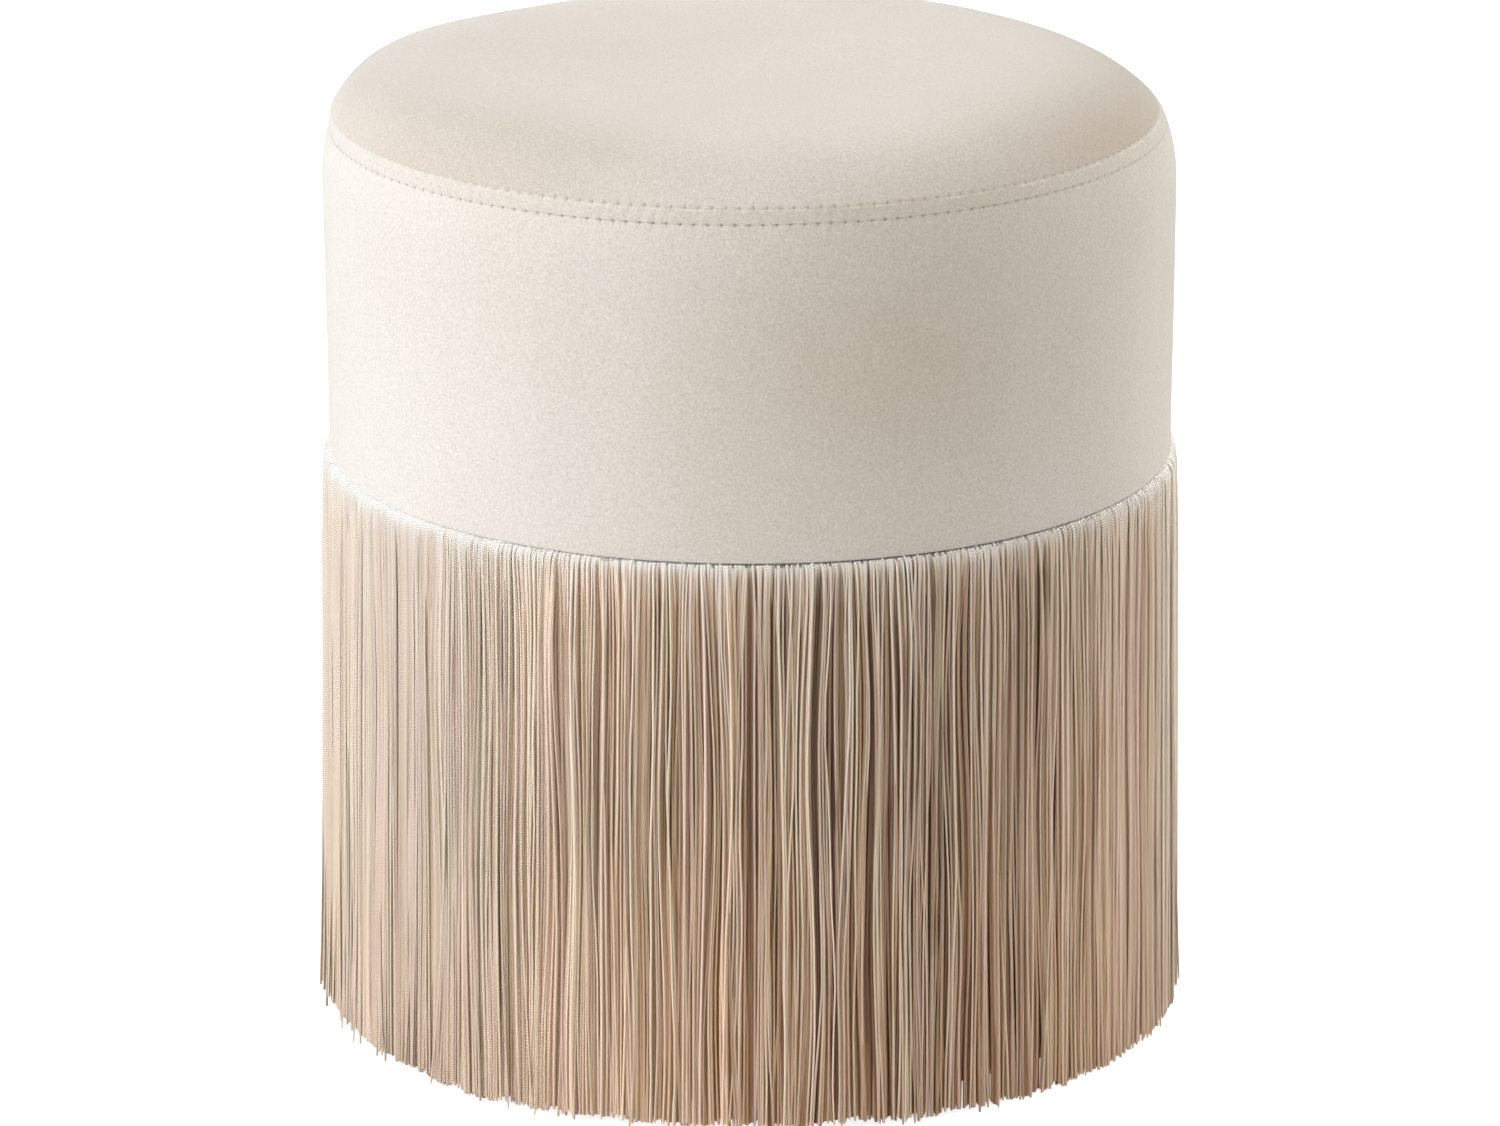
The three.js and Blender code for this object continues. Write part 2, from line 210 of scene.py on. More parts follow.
birch = grained("plywood", (0.56, 0.40, 0.24, 1), (0.71, 0.56, 0.37, 1), (9, 90, 60), 0.65, 0.0003)
pine = grained("pine", (0.60, 0.41, 0.22, 1), (0.78, 0.62, 0.40, 1), (110, 110, 7), 0.6, 0.0003)
fibreboard = grained("hardboard", (0.16, 0.09, 0.05, 1), (0.25, 0.15, 0.085, 1),
                     (420, 420, 420), 0.55, 0.0001)
zinc = grained("zinc_plated_steel", (0.52, 0.53, 0.55, 1), (0.70, 0.71, 0.74, 1),
               (900, 900, 900), 0.34, 0.00003)
preset(zinc.node_tree.nodes["Principled BSDF"], {"Metallic": 1})
paint(plies(birch, VENEER), "seat_board", "base_board", "middle_hoop")
paint(pine, *POSTS)
paint(fibreboard, "drum_wall")
paint(zinc, *POST_SCREWS, *GLIDE_SCREWS)

# Seat cushion. A disc of firm polyurethane foam, cut to a crown, lies on the seat board under a
# layer of polyester wadding that is drawn down over its edge.
VELVET = 0.0015
CLEARANCE = 0.0003
WADDING = 0.005
FOAM_ROUNDING = 0.0015
LOFT = 0.0002
LOFT_WAVES = ([3, 7, 11], [1, 0.7, 0.5], [0.4, 2.0, 4.4])
CROWN_POWER = 11
CROWN_TURNS = 192
foam_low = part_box("seat_foam")[0]
wadding_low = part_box("seat_wadding")[0]
panel_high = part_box("velvet_top_panel")[1]
strip_low, strip_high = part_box("velvet_seam_strip")
SEAM_RADIUS = panel_high.x + VELVET + CLEARANCE
SEAM_HEIGHT = strip_high.z
SEAM_PULL_RIGHT = 0.0022
SEAM_PULL_BACK = 0.0006
SHOULDER_RADIUS = strip_high.x
SHOULDER_HEIGHT = strip_low.z
CROWN_RISE = panel_high.z - SEAM_HEIGHT


def turned(name, rings, closed=False):
    """A surface turned round the Z axis through rings of points. A ring is a radius and a height,
    each an array over equal steps of the angle a, and its points are (r cos a, r sin a, h). A ring
    of one point is a pole. Where a ring has a whole number of times its neighbour's points, faces
    of more corners join them. Rings that go up make an outside, and a closed list ends in faces
    back to its first ring."""
    points, starts = [], [0]
    for radius, height in rings:
        angle = np.linspace(0, 2 * np.pi, len(radius), endpoint=False)
        points.append(np.stack([radius * np.cos(angle), radius * np.sin(angle), height], axis=-1))
        starts.append(starts[-1] + len(radius))
    faces = []
    for i in range(len(rings) if closed else len(rings) - 1):
        k = (i + 1) % len(rings)
        counts = len(rings[i][0]), len(rings[k][0])
        steps = max(counts) if 1 in counts else min(counts)
        column = np.arange(steps)[:, None]
        low_step, high_step = counts[0] // steps, counts[1] // steps
        low = starts[i] + (column * low_step + np.arange(low_step + 1)) % counts[0]
        high = starts[k] + (column * high_step + np.arange(high_step, -1, -1)) % counts[1]
        faces += np.hstack([low, high]).tolist()
    mesh = bpy.data.meshes.new(name)
    mesh.from_pydata(np.concatenate(points).tolist(), [], faces)
    mesh.shade_smooth()
    thing = bpy.data.objects.new(name, mesh)
    scene.collection.objects.link(thing)
    return thing


def angles(count):
    """Equal steps of one turn, in radians: the right is at 0, the back at 1.57, the left at 3.14
    and the front at 4.71."""
    return np.linspace(0, 2 * np.pi, count, endpoint=False)


def ring(radius, height, count):
    """A level ring of one radius."""
    return np.full(count, float(radius)), np.full(count, float(height))


def waves(angle, counts, amounts, phases):
    """A smooth wander round the drum: the sum of sines with these counts of waves in one turn."""
    return sum(a * np.sin(n * angle + p) for n, a, p in zip(counts, amounts, phases))


def fade(distance, spread):
    """1 at a line and gone two spreads away: e to the power of minus (distance / spread) squared."""
    return np.exp(-(distance / spread) ** 2)


def hump(angle, centre, width):
    """A smooth bump of the angle: 1 at its centre, and gone two widths away on either side."""
    return fade((angle - centre + np.pi) % (2 * np.pi) - np.pi, width)


def crown(share, angle):
    """The seat's rise at a share of the seam's radius: flat in the middle and steep at the edge,
    as 1 less the share to a power. The foam stands fullest at the left, where the power is high,
    and gives most at the right, at the back, and between the back and the left."""
    power = CROWN_POWER - 3.5 * np.cos(angle) - 2 * np.sin(angle) - 4.5 * hump(angle, 2.35, 0.5)
    return CROWN_RISE * (1 - share ** power)


def seam_radius(angle):
    """The upper row of stitches, which was pulled a little further in at the right."""
    return SEAM_RADIUS - SEAM_PULL_RIGHT * np.cos(angle) - SEAM_PULL_BACK * np.sin(angle)


def dome(inset, drop, count, shares):
    """Rings of the crown from the middle out, drawn in from the seam and let down from the cover.
    The loft of a pad wanders with the angle by a fraction of a millimetre."""
    angle = angles(count)
    rings = [ring(0, SEAM_HEIGHT + CROWN_RISE - drop, 1)]
    for share in shares:
        loft = LOFT * share * (1 - share) * waves(angle, *LOFT_WAVES)
        height = SEAM_HEIGHT - drop + crown(share, angle) + loft
        rings.append((share * (seam_radius(angle) - inset), height))
    return rings


def pad(name, rings, closed, node, material):
    """A closed pad through rings, in place of a solid of the frame."""
    piece = turned(name, rings, closed)
    piece.data.materials.append(material)
    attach(piece, "root")
    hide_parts(node)


def cellular(name, dark, pale, scale, roughness):
    """Open-cell foam or matted fibre: cells of one size that sink between their walls."""
    material, tree, shader = finish(name, {"Roughness": roughness})
    place = add(tree, "ShaderNodeTexCoord")
    cells = add(tree, "ShaderNodeTexVoronoi", {"Scale": scale})
    ground = ramp(tree, 0, pale, 0.7, dark)
    lift = add(tree, "ShaderNodeBump", {"Strength": 0.5, "Distance": 0.4 / scale})
    lift.invert = True
    wire(tree,
         (place, "Object", cells, "Vector"), (cells, "Distance", ground, "Fac"),
         (ground, "Color", shader, "Base Color"), (cells, "Distance", lift, "Height"),
         (lift, "Normal", shader, "Normal"))
    return material


crown_shares = 1 - (1 - np.linspace(0, 1, 26)[1:]) ** 1.8
wadding_drop = VELVET + CLEARANCE
inner_edge = wadding_drop + WADDING
foam_drop = wadding_drop + WADDING + CLEARANCE
foam = cellular("cream_foam", (0.70, 0.62, 0.40, 1), (0.84, 0.77, 0.54, 1), 900, 0.95)
foam_rings = dome(inner_edge + CLEARANCE, foam_drop, CROWN_TURNS, crown_shares)
foam_wall = foam_rings[-1][0]
foam_foot = foam_low.z + 0 * foam_wall
foam_rings = [ring(0, foam_low.z, 1), (0.5 * foam_wall, foam_foot),
              (foam_wall - FOAM_ROUNDING, foam_foot),
              (foam_wall, foam_foot + FOAM_ROUNDING)] + foam_rings[::-1]
pad("seat_foam_disc", foam_rings, False, "seat_foam", foam)

fibre = cellular("polyester_wadding", (0.78, 0.77, 0.74, 1), (0.90, 0.89, 0.87, 1), 260, 1)
drum_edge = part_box("drum_wall")[1].x
under_rings = dome(inner_edge, wadding_drop + WADDING, CROWN_TURNS, crown_shares)
over_rings = dome(wadding_drop, wadding_drop, CROWN_TURNS, crown_shares)
skirt_rings = [(under_rings[-1][0], np.full(CROWN_TURNS, wadding_low.z)),
               ring(drum_edge, wadding_low.z, CROWN_TURNS),
               ring(drum_edge, SHOULDER_HEIGHT, CROWN_TURNS),
               ring(SHOULDER_RADIUS - wadding_drop, SHOULDER_HEIGHT + CLEARANCE, CROWN_TURNS)]
wadding_rings = under_rings + skirt_rings + over_rings[::-1]
pad("seat_wadding_layer", wadding_rings, False, "seat_wadding", fibre)

# Side cover. One length of short-pile velvet goes round the drum over a thin foam and is turned
# under at the hem. It leans a few tenths of a millimetre to the left, as the seat does.
band_low, band_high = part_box("velvet_side_band")
HEM_RADIUS = 0.1884
HEM_HEIGHT = band_low.z
HEM_THICKNESS = 0.0009
HEM_FOLD = 0.0006
HEM_ROUNDING = 0.0004
FULL_RADIUS = band_high.x - 0.0008
FULL_SHARE = 0.85
BAND_LEAN = 0.0006
BAND_WANDER = ([5, 9, 16, 23], [0.00025, 0.0002, 0.00015, 0.00012], [0.3, 2.2, 4.0, 5.1])
SHOULDER_PULL = 0.0009
SHOULDER_TILT = 0.0008
STITCH_LENGTH = 0.0057
STITCHES = round(2 * math.pi * SEAM_RADIUS / STITCH_LENGTH)
LOWER_PHASE = 0.3
HOLE_SHARE = 0.08
HOLE_CLOSED = 0.75
HOLE_SPREAD = 0.0005
HOLE_DEPTH = 0.0004
GROOVE_SPREAD = 0.0004
GROOVE_DEPTH = 0.00012
GROOVE_SHADE = 0.1
GROOVE_SHADE_STRETCHED = 0.13
PULL_MOST = 0.87
BAND_PUCKER = 0.00008
BAND_PUCKER_SPREAD = 0.005
PUCKER_WANDER = ([13, 31, 47], [0.3, 0.25, 0.2], [0.2, 1.4, 3.9])
fine, coarse = angles(STITCHES * 10), angles(STITCHES * 2)


def shoulder_radius(angle):
    """The lower row of stitches, pulled in a little more at the right."""
    return SHOULDER_RADIUS - SHOULDER_PULL * np.cos(angle)


def shoulder_height(angle):
    """The lower row of stitches, a little higher at the right."""
    return SHOULDER_HEIGHT + SHOULDER_TILT * np.cos(angle)


def band_radius(share, angle):
    """The band's outside at a share of its height: drawn in at the hem, full above, and turned in
    to the lower row of stitches."""
    swell = np.sin(np.pi / 2 * np.minimum(1, share / FULL_SHARE)) ** 2
    turn = np.maximum(0, (share - FULL_SHARE) / (1 - FULL_SHARE)) ** 2
    full = HEM_RADIUS + (FULL_RADIUS - HEM_RADIUS) * swell - BAND_LEAN * share * np.cos(angle)
    return full * (1 - turn) + shoulder_radius(angle) * turn


def band_height(share, angle):
    """The height at a share of the band, from the level hem to the lower row of stitches."""
    return HEM_HEIGHT + (shoulder_height(angle) - HEM_HEIGHT) * share


def stretched(angle):
    """1 at the right of the front, where the cover was stretched tightest, and 0 away from it."""
    return hump(angle, 5.95, 0.6)


def holes(angle, phase):
    """1 at each needle hole of a row of stitches and 0 between them: a narrow bump of the angle.
    Where the cover was stretched tightest it has nearly closed them."""
    step = (angle * STITCHES / (2 * np.pi) + phase) % 1
    return fade(np.minimum(step, 1 - step), HOLE_SHARE) * (1 - HOLE_CLOSED * stretched(angle))


def puckers(angle, phase):
    """The cloth between two stitches stands up and falls at each hole: a wave of the angle, of
    which the height wanders along the seam."""
    step = np.cos(angle * STITCHES + 2 * np.pi * phase)
    return -step * (0.6 + waves(angle, *PUCKER_WANDER))


def pull(angle):
    """How hard the rows were pulled in: not at the left and behind, and hard from the middle of the
    front to the right. It goes from one to the other by a smooth step of the angle's cosine."""
    return PULL_MOST / (1 + np.exp(-12 * (np.cos(angle - 5.6) - 0.1)))


def painted_seam_shade(hole, groove, angle):
    """Painted shade in a needle hole and in the groove along a row, where the pile is pressed in. The
    groove is painted as a plain dark line where the cover was stretched tightest."""
    return np.minimum(1, hole + (GROOVE_SHADE + GROOVE_SHADE_STRETCHED * stretched(angle)) * groove)


def velvet(name, deep_shade, pale, patch_scale, patch_depth):
    """Short-pile cotton velvet. The nap attribute, with patches of noise on it, goes between a deep
    colour and a pale one: painted shade where the pile is taken to lean away from the light, and painted
    light where it leans to it. Each tuft shades a little. The press attribute is painted shade that
    darkens the pile round a needle hole and along a row's groove, and below 0 it is a painted highlight
    on a crest."""
    cloth, tree, shader = finish(name, {
        "Roughness": 0.85, "Specular IOR Level": 0.2,
        "Sheen Weight": 0.5, "Sheen Roughness": 0.35, "Sheen Tint": (1, 0.99, 0.97, 1)})
    place = add(tree, "ShaderNodeTexCoord")
    nap_light_shade = add(tree, "ShaderNodeAttribute")
    nap_light_shade.attribute_name = "nap_light_shade"
    press_shade_highlight = add(tree, "ShaderNodeAttribute")
    press_shade_highlight.attribute_name = "press_shade_highlight"

    brushed = add(tree, "ShaderNodeTexNoise", {
        "Scale": patch_scale, "Detail": 5, "Roughness": 0.55, "Distortion": 0.6})
    patch = add(tree, "ShaderNodeMapRange", {
        "From Min": 0.3, "From Max": 0.7, "To Min": -patch_depth, "To Max": patch_depth})
    lean = add(tree, "ShaderNodeMath", operation="ADD")
    lean.use_clamp = True
    # The deep colour is painted shade and the pale one painted light; the nap value mixes between them.
    ground = add(tree, "ShaderNodeMix")
    ground.data_type = "RGBA"
    shades = [socket for socket in ground.inputs if socket.type == "RGBA"]
    shades[0].default_value = deep_shade
    shades[1].default_value = pale
    mixed = [socket for socket in ground.outputs if socket.type == "RGBA"][0]
    wire(tree,
         (place, "Object", brushed, "Vector"), (brushed, "Fac", patch, "Value"),
         (nap_light_shade, "Fac", lean, 0), (patch, "Result", lean, 1), (lean, "Value", ground, 0))

    tufts = add(tree, "ShaderNodeTexNoise", {"Scale": 950, "Detail": 3, "Roughness": 0.7})
    shade = add(tree, "ShaderNodeMapRange", {
        "From Min": 0.3, "From Max": 0.7, "To Min": 0.84, "To Max": 1.14})
    # Painted shade of holes and grooves darkens the colour here, and a painted highlight on the crest
    # lightens it.
    shade_highlight_scale = add(tree, "ShaderNodeMapRange", {"From Min": -1, "To Min": 1.55, "To Max": 0.45})
    both = add(tree, "ShaderNodeMath", operation="MULTIPLY")
    pile = add(tree, "ShaderNodeVectorMath", operation="SCALE")
    tree.links.new(mixed, pile.inputs[0])
    wire(tree,
         (place, "Object", tufts, "Vector"), (tufts, "Fac", shade, "Value"),
         (press_shade_highlight, "Fac", shade_highlight_scale, "Value"), (shade, "Result", both, 0),
         (shade_highlight_scale, "Result", both, 1), (both, "Value", pile, "Scale"),
         (pile, "Vector", shader, "Base Color"))

    relief = add(tree, "ShaderNodeBump", {"Strength": 0.8, "Distance": 0.00045})
    wire(tree, (tufts, "Fac", relief, "Height"), (relief, "Normal", shader, "Normal"))
    return cloth


def cover(name, rings, closed, node, material):
    """A piece of the velvet cover through rings that also hold, at each point, the nap value, which
    paints light and shade, and the press value, which paints shade in holes and grooves and a highlight
    on the crest."""
    piece = turned(name, [(radius, height) for radius, height, nap_light_shade, press_shade_highlight in rings], closed)
    for key, column in (("nap_light_shade", 2), ("press_shade_highlight", 3)):
        value = np.concatenate([entry[column] * np.ones(len(entry[0])) for entry in rings])
        layer = piece.data.attributes.new(key, "FLOAT", "POINT")
        layer.data.foreach_set("value", value.astype(np.float32))
    piece.data.materials.append(material)
    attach(piece, "root")
    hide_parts(node)


def band_painted_shade(share, angle):
    """The nap value on the side, which paints shade: a broad soft patch at the right of the front is
    painted deeper, as painted shade where the light falls off between the lamps."""
    return 0.85 - 0.85 * hump(angle, 5.05, 0.4) * fade(share - 0.58, 0.33)


band_rise = SHOULDER_HEIGHT - HEM_HEIGHT
hem_shares = [0, 0.0015, 0.004, 0.009, 0.02, 0.04]
tuck_shares = [0.968, 0.978, 0.985, 0.990, 0.9935, 0.9965, 0.9985, 1]
outside, inside = [], []
for share in np.concatenate([hem_shares, np.linspace(0.07, 0.955, 26), tuck_shares]):
    angle = fine if share >= tuck_shares[0] else coarse
    below = (1 - share) * band_rise
    fold = max(0, 1 - share * band_rise / HEM_FOLD)
    hole = holes(angle, LOWER_PHASE) * fade(below, HOLE_SPREAD)
    pucker = puckers(angle, LOWER_PHASE) * fade(below, BAND_PUCKER_SPREAD)
    groove = pull(angle) * fade(below, GROOVE_SPREAD)
    wander = waves(angle, *BAND_WANDER) * np.sin(np.pi * share)
    radius = band_radius(share, angle) - HEM_ROUNDING * fold ** 2 + wander
    radius = radius + BAND_PUCKER * pucker - HOLE_DEPTH * hole - GROOVE_DEPTH * groove
    # The press value is painted shade in the needle holes and along the groove.
    press_shade_highlight = painted_seam_shade(hole, groove, angle)
    outside.append((radius, band_height(share, angle), band_painted_shade(share, angle), press_shade_highlight))
for share in (1, 0.7, 0.35, 0):
    angle = fine if share == 1 else coarse
    radius = band_radius(share, angle) - (VELVET if share else HEM_THICKNESS)
    inside.append((radius, band_height(share, angle), 1, 0))
side_velvet = velvet("side_velvet", (0.63, 0.575, 0.505, 1), (0.705, 0.665, 0.63, 1), 9, 0.2)
cover("velvet_band", outside + inside, True, "velvet_side_band", side_velvet)

# Side padding. A thin sheet of the same foam as the seat wraps the drum under the band, and ends
# just below the shoulder's stitches.
padding_foot = (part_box("side_padding")[0].z - HEM_HEIGHT) / band_rise
padding_inner = drum_edge + CLEARANCE
side_angle = angles(CROWN_TURNS)
padding_rings = []
for share in np.linspace(padding_foot, 1, 14):
    radius = band_radius(share, side_angle) - wadding_drop
    padding_rings.append((radius, HEM_HEIGHT + (band_rise - CLEARANCE) * share + 0 * side_angle))
padding_rings += [ring(padding_inner, padding_rings[-1][1][0], CROWN_TURNS),
                  ring(padding_inner, padding_rings[0][1][0], CROWN_TURNS)]
pad("side_foam_layer", padding_rings, True, "side_padding", foam)

# Seam strip. A narrow bias-cut strip of the same velvet is laid flat between the two rows of stitches,
# and puckers a little between them. Just below the upper row it stands up in a crest from the middle of
# the front to the right, and the crest is painted pale as a painted highlight.
STRIP_NAP = 0.6
STRIP_BULGE = 0.0004
STRIP_EASE = 0.0001
STRIP_PUCKER = 0.0001
STRIP_PUCKER_SPREAD = 0.004
CREST = 0.0002
CREST_BELOW = 0.0009
CREST_SPREAD = 0.0004
CREST_WAVES = ([29, 53, 97], [0.5, 0.4, 0.4], [1.0, 3.3, 5.2])
strip_width = SEAM_HEIGHT - SHOULDER_HEIGHT


def strip_radius(share):
    """The strip's outside at a share of its width, straight from the lower row to the upper one."""
    return shoulder_radius(fine) * (1 - share) + seam_radius(fine) * share


def strip_height(share):
    """The strip's height at a share of its width. Each edge keeps up to a tenth of a millimetre off
    the piece that it is sewn to."""
    lower = shoulder_height(fine) + STRIP_EASE * pull(fine)
    return lower * (1 - share) + (SEAM_HEIGHT - STRIP_EASE) * share


outside, inside = [], []
for share in [0, 0.03, 0.07, 0.13, 0.22, 0.34, 0.46, 0.58, 0.69, 0.77, 0.83, 0.88, 0.93, 0.97, 1]:
    low, high = share * strip_width, (1 - share) * strip_width
    hole = holes(fine, LOWER_PHASE) * fade(low, HOLE_SPREAD)
    hole = hole + pull(fine) * holes(fine, 0) * fade(high, HOLE_SPREAD)
    pucker = puckers(fine, LOWER_PHASE) * fade(low, STRIP_PUCKER_SPREAD)
    pucker = pucker + puckers(fine, 0) * fade(high, STRIP_PUCKER_SPREAD)
    groove = pull(fine) * (fade(low, GROOVE_SPREAD) + fade(high, GROOVE_SPREAD))
    # Along most of the crest the colour is painted pale, as a painted highlight.
    crest_and_highlight = np.clip(0.6 + waves(fine, *CREST_WAVES), 0, 1) * (1 - holes(fine, 0))
    rolled = pull(fine) ** 2 * crest_and_highlight * fade(high - CREST_BELOW, CREST_SPREAD)
    radius = strip_radius(share) + STRIP_BULGE * np.sin(np.pi * share)
    radius = radius + STRIP_PUCKER * pucker - HOLE_DEPTH * hole - GROOVE_DEPTH * groove
    radius = radius + CREST * rolled
    # The press value is painted shade in the holes and grooves, and below 0 a painted highlight on the
    # crest.
    press_shade_highlight = painted_seam_shade(hole, groove, fine) - 0.5 * rolled
    outside.append((radius, strip_height(share), STRIP_NAP, press_shade_highlight))
for share in (1, 0.5, 0):
    inside.append((strip_radius(share) - VELVET, strip_height(share), STRIP_NAP, 0))
cover("velvet_strip", outside + inside, True, "velvet_seam_strip", side_velvet)

# Top panel. One disc of the velvet is drawn down over the crown and sewn in at the upper row. Where the
# crown falls to the seam it is painted deeper at the left and the right, as painted shade, and paler
# over the front edge, as painted light.
TOP_NAP = 0.53
TOP_PUCKER = 0.00006
TOP_PUCKER_SPREAD = 0.0035
TOP_HOLE_PULL = 0.0003
TOP_GROOVE_FALL = 0.0003
TOP_HOLLOWS = ([2, 3, 5], [0.0005, 0.0004, 0.0003], [1.1, 3.0, 0.2])


def top_light_shade(share, angle):
    """The nap value on the seat, which paints light and shade: even on the crown, and by the rim paler
    over the front edge as painted light, and deeper at the left and the right as painted shade."""
    rim = np.clip((share - 0.6) / 0.36, 0, 1) ** 2
    front, right, left = hump(angle, 4.95, 0.55), hump(angle, 5.9, 0.5), hump(angle, 3.8, 0.6)
    return TOP_NAP + rim * (0.35 * front - 0.5 * right - 0.35 * left)


rim_shares = [0.9905, 0.9925, 0.9945, 0.996, 0.9972, 0.9984, 0.9993, 1]
seat_top = SEAM_HEIGHT + CROWN_RISE
far, near = [(*ring(0, seat_top, 1), TOP_NAP, 0)], [(*ring(0, seat_top - VELVET, 1), 1, 0)]
for share in np.concatenate([1 - (1 - np.linspace(0, 1, 44)[1:-4]) ** 1.6, rim_shares]):
    angle = fine if share >= rim_shares[0] else coarse
    inward = (1 - share) * SEAM_RADIUS
    hole = pull(angle) * holes(angle, 0) * fade(inward, HOLE_SPREAD)
    pucker = puckers(angle, 0) * fade(inward, TOP_PUCKER_SPREAD)
    groove = pull(angle) * fade(inward, GROOVE_SPREAD)
    hollow = waves(angle, *TOP_HOLLOWS) * share ** 2 * (1 - share ** 8)
    radius = share * seam_radius(angle) - TOP_HOLE_PULL * hole - GROOVE_DEPTH * groove
    height = SEAM_HEIGHT + crown(share, angle) + hollow + TOP_PUCKER * pucker
    height = height - HOLE_DEPTH * hole - TOP_GROOVE_FALL * groove
    # The last value is painted shade in the needle holes and along the groove.
    far.append((radius, height, top_light_shade(share, angle), painted_seam_shade(hole, groove, angle)))
for share in np.append(1 - (1 - np.linspace(0, 1, 16)[1:-1]) ** 1.8, 1):
    angle = fine if share == 1 else coarse
    height = SEAM_HEIGHT + crown(share, angle) - VELVET
    near.append((share * (seam_radius(angle) - VELVET), height, 1, 0))
# The top is the same cloth as the side, but has its own deep and pale colours, set to the light on the
# seat: a differently lit copy of the velvet.
top_velvet = velvet("top_velvet", (0.54, 0.47, 0.405, 1), (0.76, 0.735, 0.705, 1), 9, 0.08)
cover("velvet_panel", near + far[::-1], False, "velvet_top_panel", top_velvet)

# Stitches. Two rows of spun polyester thread in the colour of the velvet lie sunk in the pile, and
# dive into a needle hole at each end.
THREAD_RADIUS = 0.00024
THREAD_SIDES = 5


def tubes(name, middle, first, second, thick, sides):
    """Prisms along paths. Corner s of the section at a point is the point + thickness x (cos t x
    first + sin t x second), with t = 2 pi s / sides. The cross of first and second points back
    along the path, so the faces point outwards."""
    count, rows = middle.shape[:2]
    turn = np.linspace(0, 2 * np.pi, sides, endpoint=False)[:, None]
    section = np.cos(turn) * first[:, :, None, :] + np.sin(turn) * second[:, :, None, :]
    points = middle[:, :, None, :] + thick[..., None, None] * section
    index = np.arange(count * rows * sides).reshape(count, rows, sides)
    nearer = np.roll(index, -1, axis=2)
    quads = np.stack([index[:, :-1], index[:, 1:], nearer[:, 1:], nearer[:, :-1]], axis=-1)
    ends = index[:, 0].tolist() + index[:, -1, ::-1].tolist()
    mesh = bpy.data.meshes.new(name)
    mesh.from_pydata(points.reshape(-1, 3).tolist(), [], quads.reshape(-1, 4).tolist() + ends)
    mesh.shade_smooth()
    thing = bpy.data.objects.new(name, mesh)
    scene.collection.objects.link(thing)
    return thing


thread = grained("sewing_thread", (0.62, 0.57, 0.50, 1), (0.78, 0.74, 0.67, 1),
                 (1500, 1500, 1500), 0.6, 0.0001)
along_stitch = np.array([0.06, 0.16, 0.34, 0.66, 0.84, 0.94])
sunk = np.array([0.0016, 0.0006, 0.0002, 0.0002, 0.0006, 0.0016])
for row_name, phase in (("upper", 0), ("lower", LOWER_PHASE)):
    angle = (np.arange(STITCHES)[:, None] + along_stitch - phase) * 2 * np.pi / STITCHES
    radius = (seam_radius(angle) if row_name == "upper" else shoulder_radius(angle)) - sunk
    height = SEAM_HEIGHT + 0 * angle if row_name == "upper" else shoulder_height(angle)
    middle = np.stack([radius * np.cos(angle), radius * np.sin(angle), height], axis=-1)
    away = np.stack([np.cos(angle), np.sin(angle), 0 * angle], axis=-1)
    upward = np.zeros_like(away) + np.array([0.0, 0.0, 1.0])
    thick = THREAD_RADIUS + 0 * angle
    stitches = tubes(f"stitches_{row_name}", middle, away, upward, thick, THREAD_SIDES)
    stitches.data.materials.append(thread)
    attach(stitches, "root")

# Lining. A plain cotton covers the drum behind the fringe, and is turned in under the base board,
# where the dust cover's staples hold it.
lining_low, lining_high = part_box("side_lining")
LINING = 0.0009
LINING_EASE = 0.0003
LINING_GAP = 0.0001
LINING_TURN_IN = 0.033
LINING_BEND = [(0.0023, 0), (0.0009, 0.0006)]
LINING_RIPPLE = ([17, 29, 41], [0.00012, 0.0001, 0.00008], [0.5, 2.5, 4.2])


def woven(name, dark, pale, pitch):
    """A plain weave: threads over and under at a pitch, on two waves of the Object coordinates
    across and up the drum, with a slub of noise in their colour."""
    material, tree, shader = finish(name, {"Roughness": 0.9, "Sheen Weight": 0.15})
    place = add(tree, "ShaderNodeTexCoord")
    crossing = add(tree, "ShaderNodeMath", operation="MAXIMUM")
    for socket, way in enumerate(("X", "Z")):
        wave = add(tree, "ShaderNodeTexWave", {"Scale": 0.314 / pitch, "Distortion": 0.4})
        wave.bands_direction = way
        wire(tree, (place, "Object", wave, "Vector"), (wave, "Fac", crossing, socket))
    slub = add(tree, "ShaderNodeTexNoise", {"Scale": 0.2 / pitch, "Detail": 4})
    mixed = add(tree, "ShaderNodeMath", operation="MULTIPLY")
    ground = ramp(tree, 0.2, dark, 0.6, pale)
    lift = add(tree, "ShaderNodeBump", {"Strength": 0.4, "Distance": 0.0002})
    wire(tree,
         (place, "Object", slub, "Vector"), (crossing, "Value", mixed, 0),
         (slub, "Fac", mixed, 1), (mixed, "Value", ground, "Fac"),
         (ground, "Color", shader, "Base Color"), (crossing, "Value", lift, "Height"),
         (lift, "Normal", shader, "Normal"))
    return material


lining_edge = lining_high.x
lining_inner = lining_edge - LINING - LINING_GAP
ripple = waves(side_angle, *LINING_RIPPLE)
lining_rings = [ring(lining_edge - inward, lining_low.z + up, CROWN_TURNS)
                for inward, up in [(LINING_TURN_IN, 0), *LINING_BEND]]
for share in np.linspace(0.008, 1, 13):
    radius = lining_edge - LINING_EASE + ripple * np.sin(np.pi * share)
    height = lining_low.z + (lining_high.z - lining_low.z) * share
    lining_rings.append((radius, height + 0 * side_angle))
lining_rings += [ring(lining_inner, height, CROWN_TURNS)
                 for height in (lining_high.z, lining_high.z / 2, lining_low.z + LINING)]
lining_rings += [ring(lining_edge - LINING_TURN_IN, lining_low.z + LINING, CROWN_TURNS)]
